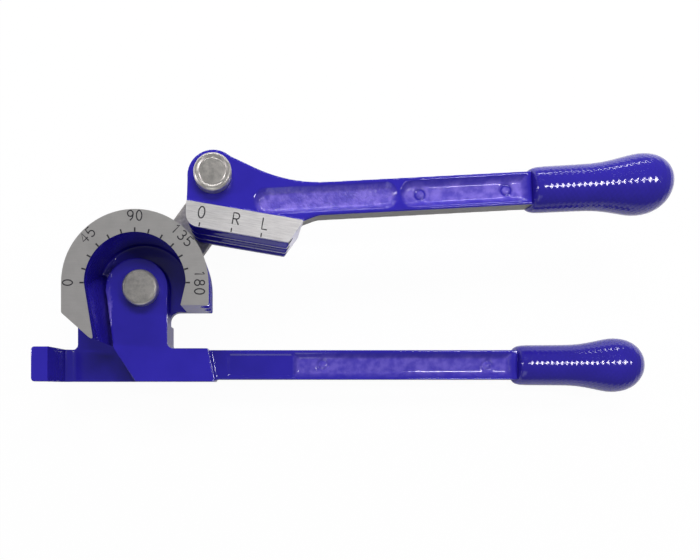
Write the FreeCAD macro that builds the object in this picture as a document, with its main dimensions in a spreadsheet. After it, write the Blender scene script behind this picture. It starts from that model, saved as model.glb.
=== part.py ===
import FreeCAD, Part
import Sketcher
import os
from FreeCAD import Placement, Rotation, Vector

# Manual tube bender: a former wheel cast in one piece with its handle, a forming shoe cast in one
# piece with the other handle, and a steel link that joins them at two plain pivots.
# Frame: X along the handles, Y from the former handle towards the shoe, Z up through the dial face.
# The origin is on the wheel pivot's axis, in the plane that the tool rests on.

doc = FreeCAD.newDocument("TubeBender")

SIZES = [
    ("large_tube", 10.0, "outside diameter of the largest tube"),
    ("middle_tube", 8.0, "outside diameter of the middle tube"),
    ("small_tube", 6.0, "outside diameter of the smallest tube"),
    ("seat_clearance", 0.1, "tube seat radius over tube radius"),
    ("groove_rib", 2.5, "rib beside each tube groove"),
    ("bend_radius", 35.0, "radius of the bent tube's centre line"),
    ("rim_inset", 1.0, "centre line outside the wheel rim"),
    ("dial_width", 10.5, "width of the graduated ring"),
    ("entry_length", 13.8, "straight groove before the bend starts"),
    ("entry_tip_inset", 12.6, "ring tip inside the wheel rim"),
    ("entry_tip_y", 25.0, "ring tip, below the pivot"),
    ("entry_tip_width", 2.0, "blunt end of the ring tip"),
    ("exit_length", 10.4, "ring beyond the last mark"),
    ("web_thickness", 6.4, "web that closes the back of the wheel"),
    ("boss_radius", 15.3, "boss under the wheel pin head"),
    ("boss_offset", 2.4, "boss centre, left of the pivot"),
    ("boss_height", 16.0, "boss and neck above the wheel's back"),
    ("neck_right", 12.6, "right side of the neck"),
    ("neck_waist", 13.9, "left side of the neck at its foot"),
    ("neck_foot", 3.0, "foot of the neck's slanted edge"),
    ("neck_corner", 5.0, "fillet between wheel and neck"),
    ("bar_corner", 2.5, "fillet between neck and bar"),
    ("bar_top", 29.1, "bar's upper side, below the pivot"),
    ("bar_width", 16.5, "bar, across"),
    ("bar_end", 32.5, "end of the raised bar, right of the pivot"),
    ("bar_slant", 3.2, "slant of the raised bar's end"),
    ("arm_play", 0.5, "hook arm below the smallest tube"),
    ("back_rise", 17.0, "top of the neck's back plate, below the pivot"),
    ("back_lip", 1.3, "neck's back plate beyond the wheel rim"),
    ("finger_gap", 2.4, "bent tube's centre line to the hook's finger"),
    ("finger_width", 11.7, "hook's finger, across"),
    ("finger_drop", 3.0, "finger tip below the dial"),
    ("finger_round", 1.5, "rounding of the finger's corners"),
    ("weld", 1.0, "overlap of one cast feature with the next"),
    ("overcut", 1.0, "run of a cutting tool past the metal"),
    ("handle_width", 15.4, "handle, across"),
    ("handle_depth", 10.0, "handle, front to back"),
    ("handle_play", 0.55, "former handle below the shoe's back"),
    ("lower_reach", 191.7, "pivot to the former handle's grip"),
    ("upper_reach", 147.1, "shoe pin to the shoe handle's grip"),
    ("channel_depth", 3.0, "hollows in the former handle's faces"),
    ("channel_rim", 2.5, "rim beside the hollow"),
    ("hollow_depth", 6.5, "hollows in the shoe handle's face"),
    ("hollow_rim", 1.6, "shoe handle's upper rim"),
    ("hollow_round", 4.0, "rounding of the hollows' ends"),
    ("channel_start", 42.3, "start of the former handle's hollow"),
    ("channel_gap", 7.4, "solid handle before the grip"),
    ("first_channel", 21.0, "start of the shoe handle's first hollow"),
    ("channel_split", 85.5, "rib between the shoe handle's hollows"),
    ("split_rib", 2.2, "width of that rib"),
    ("tang_length", 52.0, "handle end inside the grip"),
    ("tang_width", 12.0, "handle end, across"),
    ("tang_depth", 8.0, "handle end, front to back"),
    ("tang_clearance", 0.1, "grip bore around the handle end"),
    ("grip_length", 68.0, "grip, end to end"),
    ("grip_mouth", 9.7, "grip radius at its mouth"),
    ("grip_lip", 3.0, "length of the grip's rounded mouth"),
    ("grip_neck", 10.5, "grip radius along its slim neck"),
    ("grip_neck_end", 31.0, "mouth to the end of the slim neck"),
    ("grip_flare", 42.0, "mouth to the middle of the grip's flare"),
    ("grip_flare_radius", 12.4, "grip radius at the middle of its flare"),
    ("grip_radius", 14.05, "grip's largest radius"),
    ("grip_swell", 50.0, "mouth to the grip's largest radius"),
    ("grip_flat", 3.0, "length of the grip's largest radius"),
    ("grip_dome", 6.0, "length of the grip's rounded end"),
    ("grip_dome_radius", 11.3, "grip radius where its end rounds off"),
    ("grip_shoulder", 8.9, "grip radius halfway round its end"),
    ("grip_tip", 4.7, "flat of the grip's end, radius"),
    ("pin_reach", 26.5, "bent tube's centre line to the shoe pin"),
    ("link_width", 23.0, "link plate, across"),
    ("link_thickness", 5.0, "link plate"),
    ("link_angle", 54.1, "link's direction at rest, degrees from +X"),
    ("pin_radius", 6.0, "pivot shank"),
    ("pin_clearance", 0.05, "radial running clearance on a pivot"),
    ("head_radius", 8.7, "pin head"),
    ("head_height", 6.0, "pin head"),
    ("head_edge", 0.6, "chamfer round the pin head"),
    ("thread_radius", 5.0, "threaded end of a pin"),
    ("thread_proud", 1.8, "thread beyond its nut"),
    ("spacer_room", 0.8, "room for the spacer between casting and link"),
    ("spacer_thickness", 0.7, "spacer"),
    ("spacer_radius", 10.0, "spacer, outside"),
    ("shoulder_play", 0.1, "pin shoulder beyond the link"),
    ("washer_thickness", 1.9, "rear washer"),
    ("washer_radius", 10.5, "rear washer, outside"),
    ("nut_height", 10.0, "lock nut"),
    ("nut_across", 17.0, "lock nut, across flats"),
    ("collar_height", 2.4, "nylon ring in the lock nut"),
    ("collar_radius", 6.8, "nylon ring, outside"),
    ("shoe_gap", 1.6, "shoe face short of the bent tube's centre line"),
    ("shoe_tilt", 9.75, "shoe's slope at rest, degrees below +X"),
    ("shoe_left", 8.6, "shoe face to the left of the shoe pin"),
    ("shoe_right", 39.5, "shoe face to the right of the shoe pin"),
    ("shoe_nose", 6.0, "rounding of the shoe's leading corner"),
    ("strip_width", 11.2, "bare strip that carries the marks"),
    ("strip_proud", 0.6, "strip above the shoe casting"),
    ("strip_end", 44.9, "right end of the strip's upper edge"),
    ("shoe_boss", 12.0, "boss round the shoe pin"),
    ("shoulder_reach", 35.0, "shoe pin to the start of the straight handle"),
    ("shoulder_round", 70.0, "sweep from the shoe boss into the handle"),
    ("throat_run", 3.0, "strip's end to the handle's lower edge"),
    ("throat_round", 10.0, "sweep from the shoe's end into the handle"),
    ("handle_angle", 12.75, "shoe handle to shoe face, degrees"),
    ("handle_offset", 13.4, "shoe handle's centre line below the shoe pin"),
]

sizes = doc.addObject("Spreadsheet::Sheet", "Sizes")
for row, (alias, value, meaning) in enumerate(SIZES, start=1):
    sizes.set("A%d" % row, meaning)
    sizes.set("B%d" % row, str(value))
    sizes.setAlias("B%d" % row, alias)
doc.recompute()

# Heights above the resting plane and other places that follow from the sizes.
PLACES = [
    ("handle_back", "Sizes.grip_radius - Sizes.handle_depth / 2"),
    ("handle_front", "handle_back + Sizes.handle_depth"),
    ("wheel_back", "handle_front + Sizes.handle_play"),
    ("small_seat", "wheel_back + Sizes.groove_rib + Sizes.small_tube / 2"),
    ("middle_seat", "small_seat + Sizes.groove_rib + Sizes.small_tube / 2 + Sizes.middle_tube / 2"),
    ("large_seat", "middle_seat + Sizes.groove_rib + Sizes.middle_tube / 2 + Sizes.large_tube / 2"),
    ("dial_face", "large_seat + Sizes.large_tube / 2 + Sizes.groove_rib"),
    ("wheel_depth", "dial_face - wheel_back"),
    ("rim", "Sizes.bend_radius - Sizes.rim_inset"),
    ("ring_inside", "rim - Sizes.dial_width"),
    ("entry_tip", "rim - Sizes.entry_tip_inset"),
    ("back_left", "rim + Sizes.back_lip"),
    ("finger_face", "Sizes.bend_radius + Sizes.finger_gap"),
    ("finger_end", "finger_face + Sizes.finger_width"),
    ("web_top", "wheel_back + Sizes.web_thickness"),
    ("boss_top", "wheel_back + Sizes.boss_height"),
    ("arm_front", "wheel_back + Sizes.groove_rib - Sizes.arm_play"),
    ("finger_top", "dial_face - Sizes.finger_drop"),
    ("bar_bottom", "Sizes.bar_top + Sizes.bar_width"),
    ("bar_middle", "Sizes.bar_top + Sizes.handle_width / 2"),
    ("link_front", "wheel_back - Sizes.spacer_room"),
    ("link_back", "link_front - Sizes.link_thickness"),
    ("shoulder_end", "link_back - Sizes.shoulder_play"),
    ("nut_front", "shoulder_end - Sizes.washer_thickness"),
    ("nut_back", "nut_front - Sizes.nut_height"),
    ("pin_end", "nut_back - Sizes.thread_proud"),
    ("shoe_front", "dial_face - Sizes.strip_proud"),
    ("pin_hole", "Sizes.pin_radius + Sizes.pin_clearance"),
    ("link_length", "Sizes.bend_radius + Sizes.pin_reach"),
    ("shoe_pin_x", "link_length * cos(Sizes.link_angle * 1 deg)"),
    ("shoe_pin_y", "link_length * sin(Sizes.link_angle * 1 deg)"),
    ("shoe_line", "Sizes.pin_reach - Sizes.shoe_gap"),
    ("upper_back", "shoe_front - Sizes.handle_depth"),
    ("upper_axis", "shoe_front - Sizes.handle_depth / 2"),
]

places = doc.addObject("Spreadsheet::Sheet", "Places")
for row, (alias, formula) in enumerate(PLACES, start=1):
    places.set("B%d" % row, "=" + formula)
    places.setAlias("B%d" % row, alias)
    doc.recompute()


def size(alias):
    """Expression for a driving size."""
    return "Sizes." + alias


def place(alias):
    """Expression for a place worked out from the sizes."""
    return "Places." + alias


def number(expression):
    """Present value of an expression."""
    value = sizes.evalExpression(str(expression))
    return float(getattr(value, "Value", value))


def origin_plane(body, role):
    """One of a body's own origin planes."""
    return next(item for item in body.Origin.OriginFeatures if item.Role == role)


def new_sketch(body, name, level):
    """Sketch on the body's XY plane, raised to a level."""
    sketch = body.newObject("Sketcher::SketchObject", name)
    sketch.AttachmentSupport = (origin_plane(body, "XY_Plane"), [""])
    sketch.MapMode = "FlatFace"
    sketch.setExpression("AttachmentOffset.Base.z", level)
    return sketch


def bind(sketch, constraint, expression):
    """Add a driven dimension to a sketch."""
    index = sketch.addConstraint(constraint)
    sketch.setExpression("Constraints[%d]" % index, expression)


def fix_point(sketch, edge, end, point):
    """Hold one end of an edge at a point given by two expressions."""
    across, up = (number(item) for item in point)
    bind(sketch, Sketcher.Constraint("DistanceX", -1, 1, edge, end, across), str(point[0]))
    bind(sketch, Sketcher.Constraint("DistanceY", -1, 1, edge, end, up), str(point[1]))


def polygon(sketch, points):
    """Closed outline whose corners are given by expressions."""
    corners = [Vector(number(x), number(y), 0) for x, y in points]
    count = len(corners)
    for index in range(count):
        sketch.addGeometry(Part.LineSegment(corners[index], corners[(index + 1) % count]), False)
    for index in range(count):
        sketch.addConstraint(Sketcher.Constraint("Coincident", index, 2, (index + 1) % count, 1))
        fix_point(sketch, index, 1, points[index])


def circle(sketch, centre, radius):
    """Circle whose centre and radius are given by expressions."""
    middle = Vector(number(centre[0]), number(centre[1]), 0)
    index = sketch.addGeometry(Part.Circle(middle, Vector(0, 0, 1), number(radius)), False)
    bind(sketch, Sketcher.Constraint("Radius", index, number(radius)), radius)
    fix_point(sketch, index, 3, centre)


def half_disc(sketch, radius):
    """Half disc above the X axis, centred on the pivot."""
    reach = number(radius)
    whole = Part.Circle(Vector(0, 0, 0), Vector(0, 0, 1), reach)
    half_turn = 3.141592653589793
    sketch.addGeometry(Part.ArcOfCircle(whole, 0, half_turn), False)
    sketch.addGeometry(Part.LineSegment(Vector(-reach, 0, 0), Vector(reach, 0, 0)), False)
    for pair in ((0, 2, 1, 1), (1, 2, 0, 1), (0, 3, -1, 1)):
        sketch.addConstraint(Sketcher.Constraint("Coincident", *pair))
    sketch.addConstraint(Sketcher.Constraint("PointOnObject", 1, 1, -1))
    sketch.addConstraint(Sketcher.Constraint("PointOnObject", 1, 2, -1))
    bind(sketch, Sketcher.Constraint("Radius", 0, reach), radius)


def finish_feature(body, feature, length):
    """Give a pad or a pocket its length and make it the tip."""
    feature.setExpression("Length", length)
    body.Tip = feature
    doc.recompute()
    return feature


def pad(body, name, draw, bottom, top):
    """Pad a drawn outline from one level up to another."""
    sketch = new_sketch(body, name + "Outline", bottom)
    draw(sketch)
    feature = body.newObject("PartDesign::Pad", name)
    feature.Profile = sketch
    return finish_feature(body, feature, "%s - (%s)" % (top, bottom))


def pocket(body, name, draw, top, bottom):
    """Cut a drawn outline from one level down to another."""
    sketch = new_sketch(body, name + "Outline", top)
    draw(sketch)
    before = body.Shape.Volume
    feature = body.newObject("PartDesign::Pocket", name)
    feature.Profile = sketch
    finish_feature(body, feature, "%s - (%s)" % (top, bottom))
    if feature.Shape.Volume >= before:
        raise ValueError(name + " cuts nothing")
    return feature


def upright_edges(shape, points, low=None, high=None):
    """Names of the vertical edges that stand on the given points."""
    names = []
    spots = [(number(x), number(y)) for x, y in points]
    near = 0.05
    for index, edge in enumerate(shape.Edges, start=1):
        ends = [vertex.Point for vertex in edge.Vertexes]
        if len(ends) != 2 or abs(ends[0].z - ends[1].z) < near:
            continue
        if low is not None and min(ends[0].z, ends[1].z) < low - near:
            continue
        if high is not None and max(ends[0].z, ends[1].z) > high + near:
            continue
        for x, y in spots:
            if all(abs(end.x - x) < near and abs(end.y - y) < near for end in ends):
                names.append("Edge%d" % index)
    return names


def round_uprights(body, name, points, radius):
    """Fillet the vertical edges at the given points."""
    base = body.Tip
    names = upright_edges(base.Shape, points)
    if not names:
        raise ValueError(name + " finds no edge")
    feature = body.newObject("PartDesign::Fillet", name)
    feature.Base = (base, names)
    feature.setExpression("Radius", radius)
    body.Tip = feature
    doc.recompute()
    return feature


def minus(alias):
    """Expression for a size taken to the left or downwards."""
    return "-(%s)" % alias


def rectangle(left, right, low, high):
    """Corners of an upright rectangle."""
    return [(left, low), (right, low), (right, high), (left, high)]


def turned(along, across):
    """A point given along and across the shoe handle, in the shoe's own frame."""
    angle = "%s * 1 deg" % size("handle_angle")
    x = "(%s) * cos(%s) - (%s) * sin(%s)" % (along, angle, across, angle)
    y = "(%s) * sin(%s) + (%s) * cos(%s)" % (along, angle, across, angle)
    return x, y


def turned_box(start, end, low, high):
    """Corners of a rectangle that lies along the shoe handle."""
    return [turned(*corner) for corner in rectangle(start, end, low, high)]


def cutter(kind, name, values, base, turn=None):
    """Part primitive used as a cutting tool, with driven sizes and place."""
    tool = doc.addObject(kind, name)
    for prop, expression in values.items():
        tool.setExpression(prop, expression)
    if turn is not None:
        tool.Placement = Placement(Vector(0, 0, 0), turn)
    for axis, expression in zip("xyz", base):
        tool.setExpression("Placement.Base." + axis, expression)
    return tool


def cut_away(name, base, tools):
    """A casting with its machined seats and bores cut away."""
    doc.recompute()
    gathered = doc.addObject("Part::MultiFuse", name + "_tools")
    gathered.Shapes = tools
    result = doc.addObject("Part::Cut", name)
    result.Base = base
    result.Tool = gathered
    result.Label = name
    doc.recompute()
    return result


def ring_groove(body, tube):
    """Cut a tube's seat round the rim of a body."""
    groove = body.newObject("PartDesign::SubtractiveTorus", body.Name + tube.title() + "Ring")
    groove.setExpression("Radius1", size("bend_radius"))
    groove.setExpression("Radius2", seat_radius(tube))
    groove.setExpression("Placement.Base.z", place(tube + "_seat"))
    body.Tip = groove
    doc.recompute()


def put_on_shoe_pin(item, angle=None):
    """Place a piece drawn about the shoe pin, turned with the shoe."""
    item.Placement = Placement(Vector(0, 0, 0), Rotation(Vector(0, 0, 1), 1.0))
    item.setExpression("Placement.Base.x", place("shoe_pin_x"))
    item.setExpression("Placement.Base.y", place("shoe_pin_y"))
    item.setExpression("Placement.Rotation.Angle", angle or minus(size("shoe_tilt")))


ALONG_Y = Rotation(Vector(1, 0, 0), -90)
ALONG_X = Rotation(Vector(0, 1, 0), 90)
TUBES = ("large", "middle", "small")
OVERCUT = "Sizes.overcut"
nodes = []


def seat_radius(tube):
    """Radius of a tube's seat."""
    return "%s / 2 + %s" % (size(tube + "_tube"), size("seat_clearance"))


# Former handle: wheel, neck, bar, hook and handle, cast in one piece.
former = doc.addObject("PartDesign::Body", "FormerBlank")
rim = place("rim")
bar_high = minus(size("bar_top"))
bar_low = minus(place("bar_bottom"))
finger_out = minus(place("finger_end"))
neck_side = size("neck_right")
waist = (minus(size("neck_waist")), bar_high)
tip = (minus(place("entry_tip")), minus(size("entry_tip_y")))

pad(former, "WheelHalf", lambda s: half_disc(s, rim), place("wheel_back"), place("dial_face"))
for tube in TUBES:
    ring_groove(former, tube)
apron = [
    (minus(rim), "0"),
    (minus(rim), minus(size("entry_length"))),
    tip,
    waist,
    (neck_side, bar_high),
    (neck_side, minus(size("exit_length"))),
    (rim, minus(size("exit_length"))),
    (rim, "0"),
]
pad(former, "WheelApron", lambda s: polygon(s, apron), place("wheel_back"), place("dial_face"))
round_uprights(former, "NeckCorner", [apron[5]], size("neck_corner"))
pocket(former, "WheelHollow", lambda s: half_disc(s, place("ring_inside")),
       place("dial_face"), place("web_top"))
exit_inside = "sqrt(pow(%s; 2) - pow(%s; 2))" % (place("ring_inside"), size("exit_length"))
tip_inside = "-(%s) + %s" % (place("entry_tip"), size("entry_tip_width"))
opening = [
    (minus(place("ring_inside")), "0"),
    (tip_inside, minus(size("entry_tip_y"))),
    (tip_inside, bar_low),
    (exit_inside, bar_low),
    (exit_inside, minus(size("exit_length"))),
    (place("ring_inside"), "0"),
]
pocket(former, "NeckHollow", lambda s: polygon(s, opening), place("dial_face"), place("web_top"))
boss_x = minus(size("boss_offset"))
boss_left = "-(%s) - %s" % (size("boss_offset"), size("boss_radius"))
pad(former, "PinBoss", lambda s: circle(s, (boss_x, "0"), size("boss_radius")),
    place("wheel_back"), place("boss_top"))
neck = [
    (boss_left, "0"),
    waist,
    (minus(size("neck_foot")), bar_low),
    (neck_side, bar_low),
    (neck_side, "0"),
]
pad(former, "Neck", lambda s: polygon(s, neck), place("wheel_back"), place("boss_top"))
back = [
    (finger_out, bar_high),
    (finger_out, bar_low),
    (size("bar_end"), bar_low),
    (size("bar_end"), bar_high),
    (neck_side, bar_high),
    (neck_side, minus(size("back_rise"))),
    (minus(place("back_left")), minus(size("back_rise"))),
    (minus(place("back_left")), bar_high),
]
pad(former, "BackPlate", lambda s: polygon(s, back), place("handle_back"), place("arm_front"))
bar = [
    ("%s - %s" % (neck_side, size("weld")), bar_low),
    ("%s + %s" % (size("bar_end"), size("bar_slant")), bar_low),
    (size("bar_end"), bar_high),
    ("%s - %s" % (neck_side, size("weld")), bar_high),
]
pad(former, "Bar", lambda s: polygon(s, bar), place("handle_back"), place("boss_top"))
finger = rectangle(finger_out, minus(place("finger_face")), bar_low, bar_high)
pad(former, "Finger", lambda s: polygon(s, finger), place("handle_back"), place("finger_top"))
round_uprights(former, "FingerCorners", [finger[0], finger[3]], size("finger_round"))
round_uprights(former, "BarCorners", [(neck_side, bar_high), back[7]], size("bar_corner"))
handle_low = "-(%s) - %s" % (size("bar_top"), size("handle_width"))
handle = rectangle(size("bar_end"), size("lower_reach"), handle_low, bar_high)
pad(former, "Handle", lambda s: polygon(s, handle), place("handle_back"), place("handle_front"))
channel = rectangle(size("channel_start"), "%s - %s" % (size("lower_reach"), size("channel_gap")),
                    "%s + %s" % (handle_low, size("channel_rim")),
                    "%s - %s" % (bar_high, size("channel_rim")))
pocket(former, "FrontChannel", lambda s: polygon(s, channel), place("handle_front"),
       "%s - %s" % (place("handle_front"), size("channel_depth")))
pocket(former, "RearChannel", lambda s: polygon(s, channel),
       "%s + %s" % (place("handle_back"), size("channel_depth")), place("handle_back"))
tang_low = "-(%s) - %s / 2" % (place("bar_middle"), size("tang_width"))
tang_high = "-(%s) + %s / 2" % (place("bar_middle"), size("tang_width"))
tang_end = "%s + %s" % (size("lower_reach"), size("tang_length"))
tang = rectangle(size("lower_reach"), tang_end, tang_low, tang_high)
pad(former, "Tang", lambda s: polygon(s, tang), "%s - %s / 2" % (size("grip_radius"), size("tang_depth")),
    "%s + %s / 2" % (size("grip_radius"), size("tang_depth")))

wheel_tools = []
for tube in TUBES:
    level = place(tube + "_seat")
    radius = seat_radius(tube)
    reach = size("bend_radius")
    entry = cutter("Part::Cylinder", "Wheel" + tube.title() + "Entry",
                   {"Radius": radius, "Height": "%s + %s" % (place("bar_bottom"), OVERCUT)},
                   (minus(reach), "-(%s) - %s" % (place("bar_bottom"), OVERCUT), level), ALONG_Y)
    leave = cutter("Part::Cylinder", "Wheel" + tube.title() + "Exit",
                   {"Radius": radius, "Height": "%s + %s" % (size("exit_length"), OVERCUT)},
                   (reach, "-(%s) - %s" % (size("exit_length"), OVERCUT), level), ALONG_Y)
    wheel_tools += [entry, leave]
wheel_tools.append(cutter("Part::Cylinder", "WheelPinBore",
                          {"Radius": place("pin_hole"), "Height": place("dial_face")}, ("0", "0", "0")))
nodes.append(cut_away("former_handle", former, wheel_tools))

# Shoe handle: shoe, pin boss and handle, cast in one piece and drawn about the shoe pin.
shoe = doc.addObject("PartDesign::Body", "ShoeBlank")
face = minus(place("shoe_line"))
strip_top = "-(%s) + %s" % (place("shoe_line"), size("strip_width"))
boss_side = minus(size("shoe_boss"))
edge_high = "-(%s) + %s / 2" % (size("handle_offset"), size("handle_width"))
edge_low = "-(%s) - %s / 2" % (size("handle_offset"), size("handle_width"))
nose = (minus(size("shoe_left")), face)
heel = (size("shoe_right"), face)
strip_corner = (size("strip_end"), strip_top)
shoulder = turned(size("shoulder_reach"), edge_high)
throat = turned("%s + %s" % (size("strip_end"), size("throat_run")), edge_low)

pad(shoe, "ShoeBoss", lambda s: circle(s, ("0", "0"), size("shoe_boss")),
    place("wheel_back"), place("shoe_front"))
block = [(boss_side, "0"), nose, heel, strip_corner, (size("shoe_boss"), "0")]
pad(shoe, "ShoeBlock", lambda s: polygon(s, block), place("wheel_back"), place("shoe_front"))
plate = [
    (boss_side, "0"),
    nose,
    heel,
    strip_corner,
    throat,
    turned(size("upper_reach"), edge_low),
    turned(size("upper_reach"), edge_high),
    shoulder,
    ("0", size("shoe_boss")),
]
pad(shoe, "ShoePlate", lambda s: polygon(s, plate), place("upper_back"), place("shoe_front"))
round_uprights(shoe, "ShoulderSweep", [shoulder], size("shoulder_round"))
round_uprights(shoe, "ThroatSweep", [throat], size("throat_round"))
strip_left = "-(%s) - (%s) * (%s) / (%s)" % (size("shoe_left"), "%s - %s" % (size("shoe_boss"), size("shoe_left")),
                                             size("strip_width"), place("shoe_line"))
strip = [nose, heel, strip_corner, (strip_left, strip_top)]
pad(shoe, "MarkStrip", lambda s: polygon(s, strip), place("upper_back"), place("dial_face"))
round_uprights(shoe, "ShoeNose", [nose], size("shoe_nose"))
high_rim = "%s - %s" % (edge_high, size("hollow_rim"))
low_rim = "%s + %s" % (edge_low, size("channel_rim"))
upper_floor = "%s - %s" % (place("shoe_front"), size("hollow_depth"))
upper_channels = [
    ("First", size("first_channel"), "%s - %s / 2" % (size("channel_split"), size("split_rib"))),
    ("Second", "%s + %s / 2" % (size("channel_split"), size("split_rib")),
     "%s - %s" % (size("upper_reach"), size("channel_gap"))),
]
for name, start, end in upper_channels:
    hollow = turned_box(start, end, low_rim, high_rim)
    pocket(shoe, name + "Hollow", lambda s: polygon(s, hollow), place("shoe_front"), upper_floor)
    round_uprights(shoe, name + "Ends", hollow, size("hollow_round"))
upper_tang = turned_box(size("upper_reach"), "%s + %s" % (size("upper_reach"), size("tang_length")),
                        "-(%s) - %s / 2" % (size("handle_offset"), size("tang_width")),
                        "-(%s) + %s / 2" % (size("handle_offset"), size("tang_width")))
pad(shoe, "UpperTang", lambda s: polygon(s, upper_tang),
    "%s - %s / 2" % (place("upper_axis"), size("tang_depth")),
    "%s + %s / 2" % (place("upper_axis"), size("tang_depth")))

shoe_tools = []
for tube in TUBES:
    shoe_tools.append(cutter(
        "Part::Cylinder", "Shoe" + tube.title() + "Seat",
        {"Radius": seat_radius(tube), "Height": "2 * %s + %s" % (size("strip_end"), size("shoe_boss"))},
        ("-(%s) - %s" % (size("shoe_boss"), OVERCUT), minus(size("pin_reach")), place(tube + "_seat")),
        ALONG_X))
shoe_tools.append(cutter("Part::Cylinder", "ShoePinBore",
                         {"Radius": place("pin_hole"), "Height": place("dial_face")}, ("0", "0", "0")))
shoe_casting = cut_away("shoe_handle", shoe, shoe_tools)
put_on_shoe_pin(shoe_casting)
nodes.append(shoe_casting)

# Link: a flat bar with round ends and a hole for each pivot.
link = doc.addObject("PartDesign::Body", "LinkPlate")
link_half = "%s / 2" % size("link_width")
far_end = (place("link_length"), "0")
link_box = rectangle("0", place("link_length"), minus(link_half), link_half)
pad(link, "LinkBar", lambda s: polygon(s, link_box), place("link_back"), place("link_front"))
for name, centre in (("Near", ("0", "0")), ("Far", far_end)):
    pad(link, name + "End", lambda s: circle(s, centre, link_half), place("link_back"), place("link_front"))
for name, centre in (("Near", ("0", "0")), ("Far", far_end)):
    pocket(link, name + "Hole", lambda s: circle(s, centre, place("pin_hole")),
           place("link_front"), place("link_back"))
link.Label = "link_plate"
link.Placement = Placement(Vector(0, 0, 0), Rotation(Vector(0, 0, 1), 1.0))
link.setExpression("Placement.Rotation.Angle", size("link_angle"))
nodes.append(link)


def turned_piece(label, steps, bore=None):
    """Round piece made of stacked discs, each with a radius, a bottom and a top."""
    body = doc.addObject("PartDesign::Body", label.title().replace("_", ""))
    for index, (radius, bottom, top) in enumerate(steps):
        pad(body, "%sDisc%d" % (body.Name, index), lambda s: circle(s, ("0", "0"), radius), bottom, top)
    if bore is not None:
        pocket(body, body.Name + "Bore", lambda s: circle(s, ("0", "0"), bore), steps[0][2], steps[0][1])
    body.Label = label
    return body


def chamfer_top(body, distance):
    """Chamfer the rim of a round piece's top face."""
    base = body.Tip
    top = base.Shape.BoundBox.ZMax
    near = 0.01
    names = ["Edge%d" % index for index, edge in enumerate(base.Shape.Edges, start=1)
             if abs(edge.BoundBox.ZMin - top) < near]
    feature = body.newObject("PartDesign::Chamfer", body.Name + "Edge")
    feature.Base = (base, names)
    feature.setExpression("Size", distance)
    body.Tip = feature
    doc.recompute()


def hex_nut(label):
    """Lock nut with a round recess for its nylon ring and a threaded hole."""
    body = doc.addObject("PartDesign::Body", label.title().replace("_", ""))
    corner = "%s / 2 / cos(30 deg)" % size("nut_across")
    points = [("(%s) * cos(%d deg)" % (corner, turn), "(%s) * sin(%d deg)" % (corner, turn))
              for turn in range(30, 390, 60)]
    pad(body, body.Name + "Hexagon", lambda s: polygon(s, points), place("nut_back"), place("nut_front"))
    pocket(body, body.Name + "Thread", lambda s: circle(s, ("0", "0"), size("thread_radius")),
           place("nut_front"), place("nut_back"))
    pocket(body, body.Name + "Seat", lambda s: circle(s, ("0", "0"), size("collar_radius")),
           "%s + %s" % (place("nut_back"), size("collar_height")), place("nut_back"))
    body.Label = label
    return body


def pivot_set(side, head_seat, on_shoe):
    """Pin, spacer, washer, lock nut and nylon ring of one pivot."""
    pin = turned_piece(side + "_pivot_pin", [
        (size("thread_radius"), place("pin_end"), place("shoulder_end")),
        (size("pin_radius"), place("shoulder_end"), head_seat),
        (size("head_radius"), head_seat, "%s + %s" % (head_seat, size("head_height"))),
    ])
    chamfer_top(pin, size("head_edge"))
    spacer = turned_piece(side + "_pivot_spacer", [
        (size("spacer_radius"), "%s - %s" % (place("wheel_back"), size("spacer_thickness")), place("wheel_back")),
    ], place("pin_hole"))
    washer = turned_piece(side + "_pivot_washer", [
        (size("washer_radius"), place("nut_front"), place("shoulder_end")),
    ], size("thread_radius"))
    nut = hex_nut(side + "_lock_nut")
    ring = turned_piece(side + "_nut_ring", [
        (size("collar_radius"), place("nut_back"), "%s + %s" % (place("nut_back"), size("collar_height"))),
    ], size("thread_radius"))
    pieces = [pin, spacer, washer, nut, ring]
    for piece in pieces:
        if on_shoe:
            put_on_shoe_pin(piece, size("link_angle"))
        nodes.append(piece)


pivot_set("wheel", place("boss_top"), False)
pivot_set("shoe", place("shoe_front"), True)


def grip(label):
    """Moulded sleeve with a domed end and a flat bore for the handle end, drawn along X."""
    body = doc.addObject("PartDesign::Body", label.title().replace("_", ""))
    sketch = body.newObject("Sketcher::SketchObject", body.Name + "Profile")
    sketch.AttachmentSupport = (origin_plane(body, "XY_Plane"), [""])
    sketch.MapMode = "FlatFace"
    polygon(sketch, [
        ("0", "0"),
        (size("grip_length"), "0"),
        (size("grip_length"), size("grip_tip")),
        ("%s - %s / 4" % (size("grip_length"), size("grip_dome")), size("grip_shoulder")),
        ("%s - %s" % (size("grip_length"), size("grip_dome")), size("grip_dome_radius")),
        ("%s + %s" % (size("grip_swell"), size("grip_flat")), size("grip_radius")),
        (size("grip_swell"), size("grip_radius")),
        (size("grip_flare"), size("grip_flare_radius")),
        (size("grip_neck_end"), size("grip_neck")),
        (size("grip_lip"), size("grip_neck")),
        ("0", size("grip_mouth")),
    ])
    turn = body.newObject("PartDesign::Revolution", body.Name + "Turn")
    turn.Profile = sketch
    turn.ReferenceAxis = (sketch, ["H_Axis"])
    turn.Angle = 360
    body.Tip = turn
    doc.recompute()
    play = size("tang_clearance")
    bore = rectangle("0", "%s + %s" % (size("tang_length"), play),
                     "-(%s) / 2 - %s" % (size("tang_width"), play), "%s / 2 + %s" % (size("tang_width"), play))
    half_deep = "%s / 2 + %s" % (size("tang_depth"), play)
    pocket(body, body.Name + "Bore", lambda s: polygon(s, bore), half_deep, minus(half_deep))
    body.Label = label
    return body


lower_grip = grip("lower_grip")
lower_grip.setExpression("Placement.Base.x", size("lower_reach"))
lower_grip.setExpression("Placement.Base.y", minus(place("bar_middle")))
lower_grip.setExpression("Placement.Base.z", size("grip_radius"))
nodes.append(lower_grip)

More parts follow.
